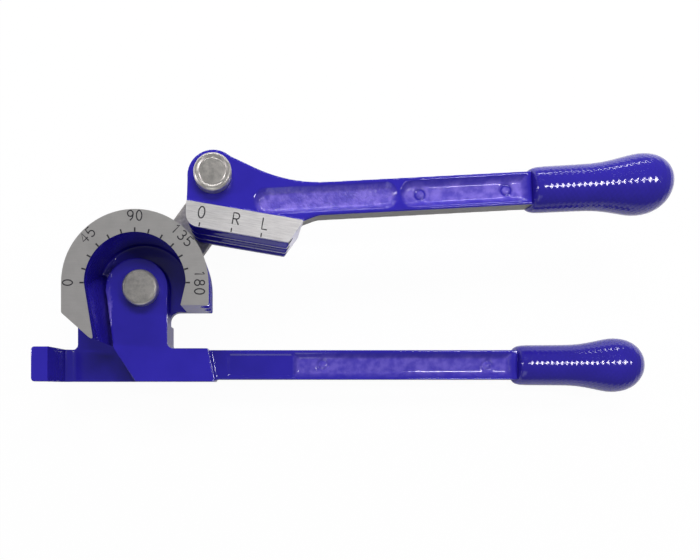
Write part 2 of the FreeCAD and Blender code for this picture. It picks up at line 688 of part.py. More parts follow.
upper_grip = grip("upper_grip")
lean = "(%s - %s) * 1 deg" % (size("handle_angle"), size("shoe_tilt"))
upper_grip.Placement = Placement(Vector(0, 0, 0), Rotation(Vector(0, 0, 1), 1.0))
upper_grip.setExpression("Placement.Base.x", "%s + %s * cos(%s) + %s * sin(%s)" % (
    place("shoe_pin_x"), size("upper_reach"), lean, size("handle_offset"), lean))
upper_grip.setExpression("Placement.Base.y", "%s + %s * sin(%s) - %s * cos(%s)" % (
    place("shoe_pin_y"), size("upper_reach"), lean, size("handle_offset"), lean))
upper_grip.setExpression("Placement.Base.z", place("upper_axis"))
upper_grip.setExpression("Placement.Rotation.Angle", lean)
nodes.append(upper_grip)

doc.recompute()
for item in doc.Objects:
    if "Invalid" in item.State or "Error" in item.State:
        raise ValueError(item.Name + " could not be built")
for node in nodes:
    if node.Shape.isNull() or not node.Shape.isValid():
        raise ValueError(node.Label + " is not a sound solid")

os.makedirs("parts", exist_ok=True)
for node in nodes:
    node.Shape.exportStep("parts/%s.step" % node.Label)
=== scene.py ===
"""Looks of a manual tube bender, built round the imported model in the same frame.

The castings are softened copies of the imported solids, the grips follow a swelling profile with a raised
pattern, and the pivots are turned and plated steel. Lengths are in metres.
"""

import logging
import math
from collections.abc import Callable, Iterable, Sequence
from dataclasses import dataclass, field
from enum import Enum
from typing import Any

import bmesh
import bpy
import numpy as np
from mathutils import Matrix, Vector


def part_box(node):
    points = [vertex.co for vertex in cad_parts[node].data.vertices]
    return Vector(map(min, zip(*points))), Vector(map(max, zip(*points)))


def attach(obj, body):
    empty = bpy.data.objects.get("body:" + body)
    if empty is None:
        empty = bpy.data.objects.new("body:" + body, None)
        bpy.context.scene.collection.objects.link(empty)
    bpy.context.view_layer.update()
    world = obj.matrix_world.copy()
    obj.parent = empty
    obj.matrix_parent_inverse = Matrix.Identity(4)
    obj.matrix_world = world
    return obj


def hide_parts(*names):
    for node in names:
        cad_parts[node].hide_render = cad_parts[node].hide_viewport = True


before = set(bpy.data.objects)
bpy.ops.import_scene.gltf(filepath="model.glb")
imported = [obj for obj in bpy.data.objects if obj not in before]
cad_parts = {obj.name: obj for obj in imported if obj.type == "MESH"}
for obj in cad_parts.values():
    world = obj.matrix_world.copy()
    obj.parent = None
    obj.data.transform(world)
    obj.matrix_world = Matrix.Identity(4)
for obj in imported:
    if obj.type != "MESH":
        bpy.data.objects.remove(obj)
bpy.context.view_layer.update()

MM = 0.001
HANDLE_TURN = math.radians(3.0)
HANDLE_DROP = 13.4 * MM
LOG = logging.getLogger("tube_bender")

Colour = tuple[float, float, float]
Point2 = tuple[float, float]


class Body(Enum):
    """The rigid bodies that pieces ride on."""

    FORMER = "former"
    LINK = "link"
    SHOE = "shoe"


class Slot(Enum):
    """The record's material slots."""

    FORMER_ENAMEL = "former_enamel"
    SHOE_ENAMEL = "shoe_enamel"
    GRIP_VINYL = "grip_vinyl"
    LINK_STEEL = "link_steel"
    PIN_STEEL = "pin_steel"
    ZINC_STEEL = "zinc_steel"
    NYLON = "nylon"


# ----------------------------------------------------------
# Shader graphs


class Wire:
    """A shader socket that takes part in Python sums."""

    def __init__(self, graph: "Graph", socket: bpy.types.NodeSocket) -> None:
        """Keep the socket and the graph that it belongs to."""
        self.graph = graph
        self.socket = socket

    def _maths(self, operation: str, first: Any, second: Any = None, clamp: bool = False) -> "Wire":
        """Add a Math node on one or two values."""
        inputs = {0: first} if second is None else {0: first, 1: second}
        return self.graph.node("ShaderNodeMath", inputs, operation=operation, use_clamp=clamp)

    def __add__(self, other: Any) -> "Wire":
        """Sum of two values."""
        return self._maths("ADD", self, other)

    __radd__ = __add__

    def __sub__(self, other: Any) -> "Wire":
        """This value less another."""
        return self._maths("SUBTRACT", self, other)

    def __rsub__(self, other: Any) -> "Wire":
        """A number less this value."""
        return self._maths("SUBTRACT", other, self)

    def __mul__(self, other: Any) -> "Wire":
        """Product of two values."""
        return self._maths("MULTIPLY", self, other)

    __rmul__ = __mul__

    def __truediv__(self, other: Any) -> "Wire":
        """This value over another."""
        return self._maths("DIVIDE", self, other)

    def maximum(self, other: Any) -> "Wire":
        """Larger of two values."""
        return self._maths("MAXIMUM", self, other)

    def clamped(self) -> "Wire":
        """This value held between 0 and 1."""
        return self._maths("ADD", self, 0.0, clamp=True)

    def step(self, low: float, high: float) -> "Wire":
        """Smooth step from 0 at low to 1 at high."""
        inputs = {0: self, 1: low, 2: high}
        return self.graph.node("ShaderNodeMapRange", inputs, interpolation_type="SMOOTHSTEP")


class Graph:
    """Node tree of one material, with a single way to add a node."""

    def __init__(self, name: str) -> None:
        """Start a material of the given name with an empty tree."""
        self.material = bpy.data.materials.new(name)
        self.material.use_nodes = True
        self.tree = self.material.node_tree
        self.tree.nodes.clear()

    def node(self, kind: str, inputs: dict[int | str, Any] | None = None, output: int | str = 0,
             **settings: Any) -> Wire:
        """Add a node.

        Args:
            kind: Blender's name for the node type.
            inputs: Value or wire for each input that is set.
            output: Output that is returned.
            **settings: Node properties, and stops for a colour ramp, all set before the inputs.

        Returns:
            The chosen output.
        """
        node = self.tree.nodes.new(kind)
        for name, value in settings.items():
            if name == "stops":
                self._set_stops(node, value)
            else:
                setattr(node, name, value)
        for key, value in (inputs or {}).items():
            if isinstance(value, Wire):
                self.tree.links.new(value.socket, node.inputs[key])
            else:
                node.inputs[key].default_value = value
        return Wire(self, node.outputs[output] if len(node.outputs) else None)

    @staticmethod
    def _set_stops(node: bpy.types.Node, stops: Sequence[tuple[float, Colour]]) -> None:
        """Give a colour ramp its stops."""
        ramp = node.color_ramp
        while len(ramp.elements) < len(stops):
            ramp.elements.new(0.5)
        for element, (position, colour) in zip(ramp.elements, stops):
            element.position = position
            element.color = (*colour, 1.0)

    def place(self) -> Wire:
        """Object coordinates."""
        return self.node("ShaderNodeTexCoord", output="Object")

    def parts(self, vector: Wire) -> tuple[Wire, Wire, Wire]:
        """The three coordinates of a vector."""
        split = self.node("ShaderNodeSeparateXYZ", {0: vector})
        outputs = split.socket.node.outputs
        return tuple(Wire(self, outputs[index]) for index in range(3))

    def noise(self, size: float, detail: float = 2.0, rough: float = 0.5, vector: Wire | None = None) -> Wire:
        """Noise whose lumps are about the given size, from 0 to 1."""
        inputs = {"Vector": vector or self.place(), "Scale": 1.0 / size, "Detail": detail, "Roughness": rough}
        return self.node("ShaderNodeTexNoise", inputs)

    def stretched(self, scale: Sequence[float], turn: float = 0.0) -> Wire:
        """Object coordinates, turned about Z and scaled."""
        inputs = {"Vector": self.place(), "Rotation": (0.0, 0.0, turn)}
        turned = self.node("ShaderNodeMapping", inputs)
        return self.node("ShaderNodeVectorMath", {0: turned, 1: tuple(scale)}, operation="MULTIPLY")

    def attribute(self, name: str) -> Wire:
        """A number kept on the mesh's points."""
        return self.node("ShaderNodeAttribute", output="Fac", attribute_name=name)

    def mix(self, share: Any, first: Any, second: Any) -> Wire:
        """Blend of two colours."""
        def full(colour: Any) -> Any:
            """A colour with its alpha, or a wire as it is."""
            return colour if isinstance(colour, Wire) else (*colour, 1.0)

        inputs = {0: share, 6: full(first), 7: full(second)}
        return self.node("ShaderNodeMix", inputs, 2, data_type="RGBA")

    def bump(self, height: Wire, strength: float, distance: float, normal: Wire | None = None) -> Wire:
        """Bump from a height."""
        inputs: dict[int | str, Any] = {"Height": height, "Strength": strength, "Distance": distance}
        if normal is not None:
            inputs["Normal"] = normal
        return self.node("ShaderNodeBump", inputs)

    def surface(self, **inputs: Any) -> bpy.types.Material:
        """End the tree in a Principled shader.

        Args:
            **inputs: Shader inputs, with underscores for the spaces in their names.

        Returns:
            The finished material.
        """
        named = {name.replace("_", " "): value for name, value in inputs.items()}
        named = {name.replace("Specular Level", "Specular IOR Level"): value for name, value in named.items()}
        shader = self.node("ShaderNodeBsdfPrincipled", named)
        self.node("ShaderNodeOutputMaterial", {0: shader})
        return self.material


@dataclass(frozen=True)
class Enamel:
    """Thick gloss enamel over a casting, with faces that are left as bare metal, and a painted reflection that
    lightens the floors of its hollows.

    Attributes:
        name: Material name.
        colour: Enamel colour.
        deep: Darker enamel that the colour drifts towards.
        faced: Height of the face that is ground bare.
        grain: Direction of the grinding marks on that face, about Z.
        painted_sheen: Paler lilac colour, a painted reflection, laid on the floors of the hollows.
        bare_colour: Ground metal.
        cast_colour: Unpainted casting.
        streaks: Strength of the grinding marks.
    """

    name: str
    faced: float
    grain: float
    colour: Colour = (0.025, 0.016, 0.370)
    deep: Colour = (0.016, 0.010, 0.280)
    # Paler lilac that stands for a painted reflection in the hollows.
    painted_sheen: Colour = (0.215, 0.165, 0.640)
    bare_colour: Colour = (0.46, 0.46, 0.44)
    cast_colour: Colour = (0.25, 0.25, 0.22)
    streaks: float = 0.5

    def material(self) -> bpy.types.Material:
        """Make the material."""
        graph = Graph(self.name)
        height = graph.parts(graph.place())[2]
        ragged = graph.noise(1.1 * MM, 3.0)
        ground = height.step(self.faced - 0.07 * MM, self.faced - 0.04 * MM)
        cast = (graph.attribute("bare") + 0.35 * (ragged - 0.5)).step(0.46, 0.54)
        metal = ground.maximum(cast)

        drift = graph.noise(14.0 * MM, 2.0)
        paint = graph.mix(drift, self.deep, self.colour)
        # Painted reflection: a paler lilac mixed into the enamel by the haze share on the mesh, in blotches
        # like glints on orange peel.
        sheen_blotches = graph.noise(4.0 * MM, 3.0).step(0.30, 0.72)
        paint = graph.mix(graph.attribute("painted_sheen") * (0.35 + 0.65 * sheen_blotches), paint, self.painted_sheen)
        brushed = graph.noise(0.5 * MM, 3.0, 0.6, graph.stretched((0.06, 1.0, 1.0), self.grain))
        speckle = graph.noise(0.35 * MM, 2.0, 0.7)
        cloud = graph.noise(5.0 * MM, 3.0)
        tone = 0.5 + self.streaks * (brushed - 0.5) * 2.0 + 0.5 * (speckle - 0.5) + 0.35 * (cloud - 0.5)
        tone = tone.clamped()
        dark = tuple(0.72 * value for value in self.bare_colour)
        light = tuple(min(1.0, 1.22 * value) for value in self.bare_colour)
        steel = graph.mix(tone, dark, light)
        worn = graph.mix(speckle, tuple(0.7 * value for value in self.cast_colour), self.cast_colour)
        bare = graph.mix(ground, worn, steel)
        base = graph.mix(metal, paint, bare)

        peel = graph.noise(2.6 * MM, 1.0)
        fine = graph.noise(0.9 * MM, 1.0)
        pits = graph.attribute("pits")
        lumps = graph.noise(1.3 * MM, 2.0, 0.6)
        rough_paint = 0.06 + 0.07 * drift
        rough_metal = 0.42 + 0.16 * tone
        roughness = rough_paint + metal * (rough_metal - rough_paint)
        skin = (1.0 - metal) * (0.55 * peel + 0.12 * fine + pits * lumps * 5.0)
        grit = metal * (0.10 * speckle + 0.06 * brushed)
        normal = graph.bump(skin + grit, 0.8, 0.12 * MM)
        return graph.surface(Base_Color=base, Roughness=roughness, Metallic=0.75 * metal,
                             Specular_Level=0.4, Coat_Weight=0.35 * (1.0 - metal), Coat_Roughness=0.06,
                             Normal=normal)


@dataclass(frozen=True)
class Vinyl:
    """Dipped vinyl with a soft sheen and a fine skin.

    Attributes:
        name: Material name.
        colour: Vinyl colour.
    """

    name: str = "dipped_vinyl"
    colour: Colour = (0.022, 0.014, 0.300)

    def material(self) -> bpy.types.Material:
        """Make the material."""
        graph = Graph(self.name)
        drift = graph.noise(9.0 * MM, 2.0)
        base = graph.mix(drift, tuple(0.8 * value for value in self.colour), self.colour)
        skin = graph.noise(0.6 * MM, 2.0)
        normal = graph.bump(skin, 0.25, 0.05 * MM)
        return graph.surface(Base_Color=base, Roughness=0.10 + 0.07 * drift, Normal=normal)


@dataclass(frozen=True)
class Steel:
    """Plated or turned steel.

    Attributes:
        name: Material name.
        colour: Mean colour.
        rings: Axis of the turning marks, or None.
        mottle: Strength of the patches in the plating.
        patch: Size of those patches.
        rough: Mean roughness.
    """

    name: str
    colour: Colour = (0.58, 0.58, 0.54)
    rings: Point2 | None = None
    mottle: float = 0.5
    patch: float = 2.2 * MM
    rough: float = 0.36

    def material(self) -> bpy.types.Material:
        """Make the material."""
        graph = Graph(self.name)
        patches = graph.noise(self.patch, 4.0, 0.62)
        speckle = graph.noise(0.4 * MM, 2.0, 0.6)
        tone = (0.5 + self.mottle * (patches - 0.5) * 2.4 + 0.35 * (speckle - 0.5)).clamped()
        dark = tuple(0.62 * value for value in self.colour)
        light = tuple(min(1.0, value * share) for value, share in zip(self.colour, (1.45, 1.40, 1.38)))
        base = graph.mix(tone, dark, light)
        relief = 0.5 * patches + 0.15 * speckle
        if self.rings is not None:
            centred = graph.node("ShaderNodeVectorMath", {0: graph.place(), 1: (*self.rings, 0.0)},
                                 operation="SUBTRACT")
            flat = graph.node("ShaderNodeVectorMath", {0: centred, 1: (1.0, 1.0, 0.0)}, operation="MULTIPLY")
            reach = graph.node("ShaderNodeVectorMath", {0: flat}, "Value", operation="LENGTH")
            line = graph.node("ShaderNodeCombineXYZ", {0: reach, 1: 0.0, 2: 0.0})
            relief = relief + 0.6 * graph.noise(0.35 * MM, 2.0, 0.6, line)
        normal = graph.bump(relief, 0.7, 0.06 * MM)
        return graph.surface(Base_Color=base, Roughness=self.rough + 0.2 * (patches - 0.5),
                             Metallic=0.85, Normal=normal)


@dataclass(frozen=True)
class Plain:
    """A moulded or painted finish with a little unevenness.

    Attributes:
        name: Material name.
        colour: Mean colour.
        rough: Mean roughness.
    """

    name: str
    colour: Colour
    rough: float = 0.5

    def material(self) -> bpy.types.Material:
        """Make the material."""
        graph = Graph(self.name)
        drift = graph.noise(1.2 * MM, 3.0)
        base = graph.mix(drift, tuple(0.75 * value for value in self.colour), self.colour)
        normal = graph.bump(graph.noise(0.5 * MM), 0.3, 0.03 * MM)
        return graph.surface(Base_Color=base, Roughness=self.rough + 0.15 * (drift - 0.5), Normal=normal)


# ----------------------------------------------------------
# Meshes


def new_object(name: str, mesh: bpy.types.Mesh) -> bpy.types.Object:
    """Put a mesh into the scene as an object at the origin."""
    item = bpy.data.objects.new(name, mesh)
    bpy.context.scene.collection.objects.link(item)
    return item


def mesh_of(name: str, points: np.ndarray, faces: Iterable[Sequence[int]]) -> bpy.types.Mesh:
    """Closed mesh from points and faces, its doubles merged and its faces turned outwards."""
    mesh = bpy.data.meshes.new(name)
    mesh.from_pydata([tuple(point) for point in points], [], [tuple(face) for face in faces])
    work = bmesh.new()
    work.from_mesh(mesh)
    bmesh.ops.remove_doubles(work, verts=work.verts, dist=0.002 * MM)
    bmesh.ops.recalc_face_normals(work, faces=work.faces)
    work.to_mesh(mesh)
    work.free()
    return mesh


def baked(item: bpy.types.Object) -> bpy.types.Mesh:
    """The mesh of an object with its modifiers applied."""
    bpy.context.view_layer.update()
    graph = bpy.context.evaluated_depsgraph_get()
    return bpy.data.meshes.new_from_object(item.evaluated_get(graph))


def with_modifiers(mesh: bpy.types.Mesh, steps: Sequence[tuple[str, dict[str, Any]]]) -> bpy.types.Mesh:
    """A mesh after a chain of modifiers.

    Args:
        mesh: Mesh to start from.
        steps: Modifier types with their settings.

    Returns:
        A new plain mesh.
    """
    item = new_object("work", mesh)
    for kind, settings in steps:
        modifier = item.modifiers.new(kind.title(), kind)
        for name, value in settings.items():
            setattr(modifier, name, value)
    result = baked(item)
    bpy.data.objects.remove(item)
    return result


def coordinates(mesh: bpy.types.Mesh) -> np.ndarray:
    """Points of a mesh as an array with one row each."""
    flat = np.zeros(len(mesh.vertices) * 3, np.float32)
    mesh.vertices.foreach_get("co", flat)
    return flat.reshape(-1, 3).astype(float)


def point_normals(mesh: bpy.types.Mesh) -> np.ndarray:
    """Normals at the points of a mesh."""
    flat = np.zeros(len(mesh.vertices) * 3, np.float32)
    mesh.vertices.foreach_get("normal", flat)
    return flat.reshape(-1, 3).astype(float)


def set_coordinates(mesh: bpy.types.Mesh, points: np.ndarray) -> None:
    """Move the points of a mesh."""
    mesh.vertices.foreach_set("co", points.astype(np.float32).ravel())
    mesh.update()


def set_number(mesh: bpy.types.Mesh, name: str, values: np.ndarray) -> None:
    """Keep a number on each point of a mesh."""
    attribute = mesh.attributes.new(name, "FLOAT", "POINT")
    attribute.data.foreach_set("value", values.astype(np.float32))


def smooth_step(values: np.ndarray, low: float, high: float) -> np.ndarray:
    """Smooth step from 0 at low to 1 at high."""
    share = np.clip((values - low) / (high - low), 0.0, 1.0)
    return share * share * (3.0 - 2.0 * share)


def shade(mesh: bpy.types.Mesh, sharp: float = 40.0) -> None:
    """Smooth shading, with edges sharper than an angle in degrees kept."""
    mesh.polygons.foreach_set("use_smooth", [True] * len(mesh.polygons))
    mesh.set_sharp_from_angle(angle=math.radians(sharp))


def lathe(name: str, profile: Sequence[Point2], segments: int, centre: Point2 = (0.0, 0.0),
          radius_at: Callable[[np.ndarray, float, float], np.ndarray] | None = None) -> bpy.types.Mesh:
    """Turned mesh about a vertical axis.

    Args:
        name: Mesh name.
        profile: Radius and height of each point, closed on itself or ending on the axis.
        segments: Points round the axis.
        centre: Where the axis stands.
        radius_at: Optional rule that gives the radii round the axis for a profile point.

    Returns:
        The closed mesh.
    """
    angles = np.arange(segments) * (2.0 * math.pi / segments)
    rows = []
    for radius, height in profile:
        radii = np.full(segments, radius) if radius_at is None else radius_at(angles, radius, height)
        rows.append(np.stack([centre[0] + radii * np.cos(angles), centre[1] + radii * np.sin(angles),
                              np.full(segments, height)], 1))
    faces = []
    open_ended = profile[0][0] == 0.0
    spans = len(profile) - 1 if open_ended else len(profile)
    for row in range(spans):
        after = (row + 1) % len(profile)
        for index in range(segments):
            beside = (index + 1) % segments
            faces.append((row * segments + index, row * segments + beside,
                          after * segments + beside, after * segments + index))
    return mesh_of(name, np.concatenate(rows), faces)


def rounded(corners: Sequence[tuple[float, float, float]], steps: int = 4) -> list[Point2]:
    """Profile whose corners are eased.

    Args:
        corners: Radius, height and easing of each corner.
        steps: Points on each eased corner.

    Returns:
        Points of the profile.
    """
    result: list[Point2] = []
    count = len(corners)
    for index, (radius, height, ease) in enumerate(corners):
        here = Vector((radius, height))
        if ease <= 0.0:
            result.append((radius, height))
            continue
        before = Vector(corners[(index - 1) % count][:2]) - here
        after = Vector(corners[(index + 1) % count][:2]) - here
        start, end = here + before.normalized() * ease, here + after.normalized() * ease
        for step in range(steps + 1):
            share = step / steps
            point = start * (1 - share) ** 2 + here * (2 * share * (1 - share)) + end * share ** 2
            result.append((point.x, point.y))
    return result


def middle(node: str) -> tuple[float, ...]:
    """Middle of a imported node's box."""
    return tuple((low + high) / 2 for low, high in zip(*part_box(node)))


def finish_piece(item: bpy.types.Object, body: Body, slot: Slot, material: bpy.types.Material,
                 *nodes: str) -> bpy.types.Object:
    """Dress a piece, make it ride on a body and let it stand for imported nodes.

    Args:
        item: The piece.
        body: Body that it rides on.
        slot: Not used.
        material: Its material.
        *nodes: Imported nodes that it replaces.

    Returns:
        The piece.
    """
    item.data.materials.clear()
    item.data.materials.append(material)
    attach(item, body.value)
    if nodes:
        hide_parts(*nodes)
    LOG.info("%s: %d faces on %s", item.name, len(item.data.polygons), body.value)
    return item


class NodeProgram:
    """A Geometry Nodes tree with named inputs."""

    def __init__(self, name: str, inputs: dict[str, tuple[str, Any]]) -> None:
        """Start a tree.

        Args:
            name: Tree name.
            inputs: Socket type and value of each named input.
        """
        self.tree = bpy.data.node_groups.new(name, "GeometryNodeTree")
        self.values: dict[str, Any] = {}
        self.sockets: dict[str, str] = {}
        for label, (kind, value) in inputs.items():
            socket = self.tree.interface.new_socket(label, in_out="INPUT", socket_type=kind)
            self.sockets[label] = socket.identifier
            self.values[label] = value
        self.tree.interface.new_socket("Geometry", in_out="OUTPUT", socket_type="NodeSocketGeometry")
        self.entry = self.tree.nodes.new("NodeGroupInput")

    def input(self, label: str) -> bpy.types.NodeSocket:
        """Socket of a named input."""
        return self.entry.outputs[label]

    def node(self, kind: str, inputs: dict[int | str, Any] | None = None, output: int | str = 0,
             **settings: Any) -> bpy.types.NodeSocket:
        """Add a node.

        Args:
            kind: Blender's name for the node type.
            inputs: Value or socket for each input that is set.
            output: Output that is returned.
            **settings: Node properties, set before the inputs.

        Returns:
            The chosen output.
        """
        node = self.tree.nodes.new(kind)
        for name, value in settings.items():
            setattr(node, name, value)
        for key, value in (inputs or {}).items():
            if isinstance(value, bpy.types.NodeSocket):
                self.tree.links.new(value, node.inputs[key])
            else:
                node.inputs[key].default_value = value
        return node.outputs[output]

    def maths(self, operation: str, *values: Any) -> bpy.types.NodeSocket:
        """Add a Math node."""
        return self.node("ShaderNodeMath", dict(enumerate(values)), operation=operation)

    def run(self, name: str, geometry: bpy.types.NodeSocket, material: bpy.types.Material) -> bpy.types.Mesh:
        """End the tree and turn what it makes into a plain mesh.

        Args:
            name: Mesh name.
            geometry: Geometry that the tree ends with.
            material: Material of the result.

        Returns:
            The plain mesh.
        """
        real = self.node("GeometryNodeRealizeInstances", {0: geometry})
        dressed = self.node("GeometryNodeSetMaterial", {"Geometry": real, "Material": material})
        leave = self.tree.nodes.new("NodeGroupOutput")
        self.tree.links.new(dressed, leave.inputs[0])
        item = new_object("work", bpy.data.meshes.new(name))
        modifier = item.modifiers.new("Program", "NODES")
        modifier.node_group = self.tree
        for label, identifier in self.sockets.items():
            modifier[identifier] = self.values[label]
        item.update_tag()
        mesh = baked(item)
        mesh.name = name
        item.modifiers.clear()
        bpy.data.objects.remove(item)
        return mesh


# ----------------------------------------------------------
# Castings


@dataclass(frozen=True)
class Trough:
    """Shallow hollow with sloping walls, sunk into the face of a handle.

    Attributes:
        start: Where it begins along the handle.
        end: Where it ends along the handle.
        half: Half its width at the rim.
        depth: Depth of its floor.
        wall: Width of the slope, seen from the front.
        round_start: Whether it begins with a half circle.
        round_end: Whether it ends with one.
    """

    start: float
    end: float
    half: float
    depth: float = 2.4 * MM
    wall: float = 2.9 * MM
    round_start: bool = False
    round_end: bool = False

    def inset(self, along: np.ndarray, across: np.ndarray) -> np.ndarray:
        """How far inside its rim each point lies, negative beyond it."""
        sides = self.half - np.abs(across)
        result = sides
        for beyond, is_round in ((along - self.start, self.round_start), (self.end - along, self.round_end)):
            if is_round:
                past = np.maximum(self.half - beyond, 0.0)
                result = np.minimum(result, self.half - np.hypot(past, across))
            else:
                result = np.minimum(result, beyond)
        return result

    def covers(self, along: np.ndarray, across: np.ndarray) -> np.ndarray:
        """Whether each point lies in the rectangle that holds the hollow."""
        return (along > self.start) & (along < self.end) & (np.abs(across) < self.half)

    def fall(self, along: np.ndarray, across: np.ndarray) -> np.ndarray:
        """Depth below the face at each point."""
        return self.depth * np.clip(self.inset(along, across) / self.wall, 0.0, 1.0)


def sink(points: np.ndarray, along: np.ndarray, across: np.ndarray, troughs: Sequence[Trough], face: float,
         below: float) -> None:
    """Give the face of a handle its troughs.

    Args:
        points: Points of the casting, changed in place.
        along: Distance of each point along the handle.
        across: Distance of each point from its centre line.
        troughs: The troughs.
        face: Height of the face.
        below: Points lower than this stay where they are.
    """
    inside = np.any([trough.covers(along, across) for trough in troughs], 0)
    inside &= (points[:, 2] > below) & (points[:, 2] < face + 0.3 * MM)
    fall = np.max([trough.fall(along, across) for trough in troughs], 0)
    points[inside, 2] = face - fall[inside]


def ring_marks(points: np.ndarray, along: np.ndarray, across: np.ndarray, spots: Sequence[float],
               below: float) -> None:
    """Press ring-shaped ejector marks into a handle's face.

    Args:
        points: Points of the casting, changed in place.
        along: Distance of each point along the handle.
        across: Distance of each point from its centre line.
        spots: Where the marks stand along the handle.
        below: Points lower than this stay where they are.
    """
    radius, width, depth = 2.3 * MM, 0.75 * MM, 1.0 * MM
    for spot in spots:
        reach = np.hypot(along - spot, across)
        ring = np.exp(-np.square((reach - radius) / width))
        points[:, 2] -= depth * ring * (points[:, 2] > below)


@dataclass
class Casting:
    """A cast handle whose edges are softened and whose marked face is ground flat.

    Attributes:
        node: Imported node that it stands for.
        body: Body that it rides on.
        slot: Material slot.
        voxel: Size of the grid that the copy is rebuilt on.
        passes: Smoothing passes, which set the rounding of the edges.
        lift: Metal that stands over the marked face before it is ground.
        most: Largest number of triangles.
    """

    node: str
    body: Body
    slot: Slot
    voxel: float = 0.45 * MM
    passes: int = 7
    lift: float = 1.6 * MM
    most: int = 180_000

    @property
    def faced(self) -> float:
        """Height of the marked face."""
        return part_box(self.node)[1].z

    def copy(self) -> bpy.types.Mesh:
        """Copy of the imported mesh, merged, with the marked face raised for grinding."""
        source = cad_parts[self.node].data
        mesh = bpy.data.meshes.new(self.node + "_skin")
        edge = self.faced - 0.05 * MM
        work = bmesh.new()
        work.from_mesh(source)
        bmesh.ops.remove_doubles(work, verts=work.verts, dist=0.001 * MM)
        for point in work.verts:
            if point.co.z > edge:
                point.co.z += self.lift
        work.to_mesh(mesh)
        work.free()
        return mesh

    def model(self, points: np.ndarray) -> np.ndarray:
        """Local shaping before the edges are softened."""
        return points

    def masks(self, points: np.ndarray, normals: np.ndarray) -> dict[str, np.ndarray]:
        """Where the casting is bare, where its skin is pitted and where a painted reflection lightens its
        enamel.
        """
        raise NotImplementedError

    def build(self, material: bpy.types.Material) -> bpy.types.Object:
        """Make the casting's piece."""
        mesh = with_modifiers(self.copy(), [("REMESH", {"mode": "VOXEL", "voxel_size": self.voxel})])
        set_coordinates(mesh, self.model(coordinates(mesh)))
        mesh = with_modifiers(mesh, [("SMOOTH", {"factor": 0.5, "iterations": self.passes})])
        points = coordinates(mesh)
        points[:, 2] = np.minimum(points[:, 2], self.faced)
        set_coordinates(mesh, points)
        triangles = 2 * len(mesh.polygons)
        share = min(1.0, self.most / triangles)
        mesh = with_modifiers(mesh, [("DECIMATE", {"ratio": share, "use_collapse_triangulate": True})])
        mesh.name = self.node + "_casting"
        for name, values in self.masks(coordinates(mesh), point_normals(mesh)).items():
            set_number(mesh, name, values)
        shade(mesh, 38.0)
        item = new_object(self.node + "_casting", mesh)
        return finish_piece(item, self.body, self.slot, material, self.node)


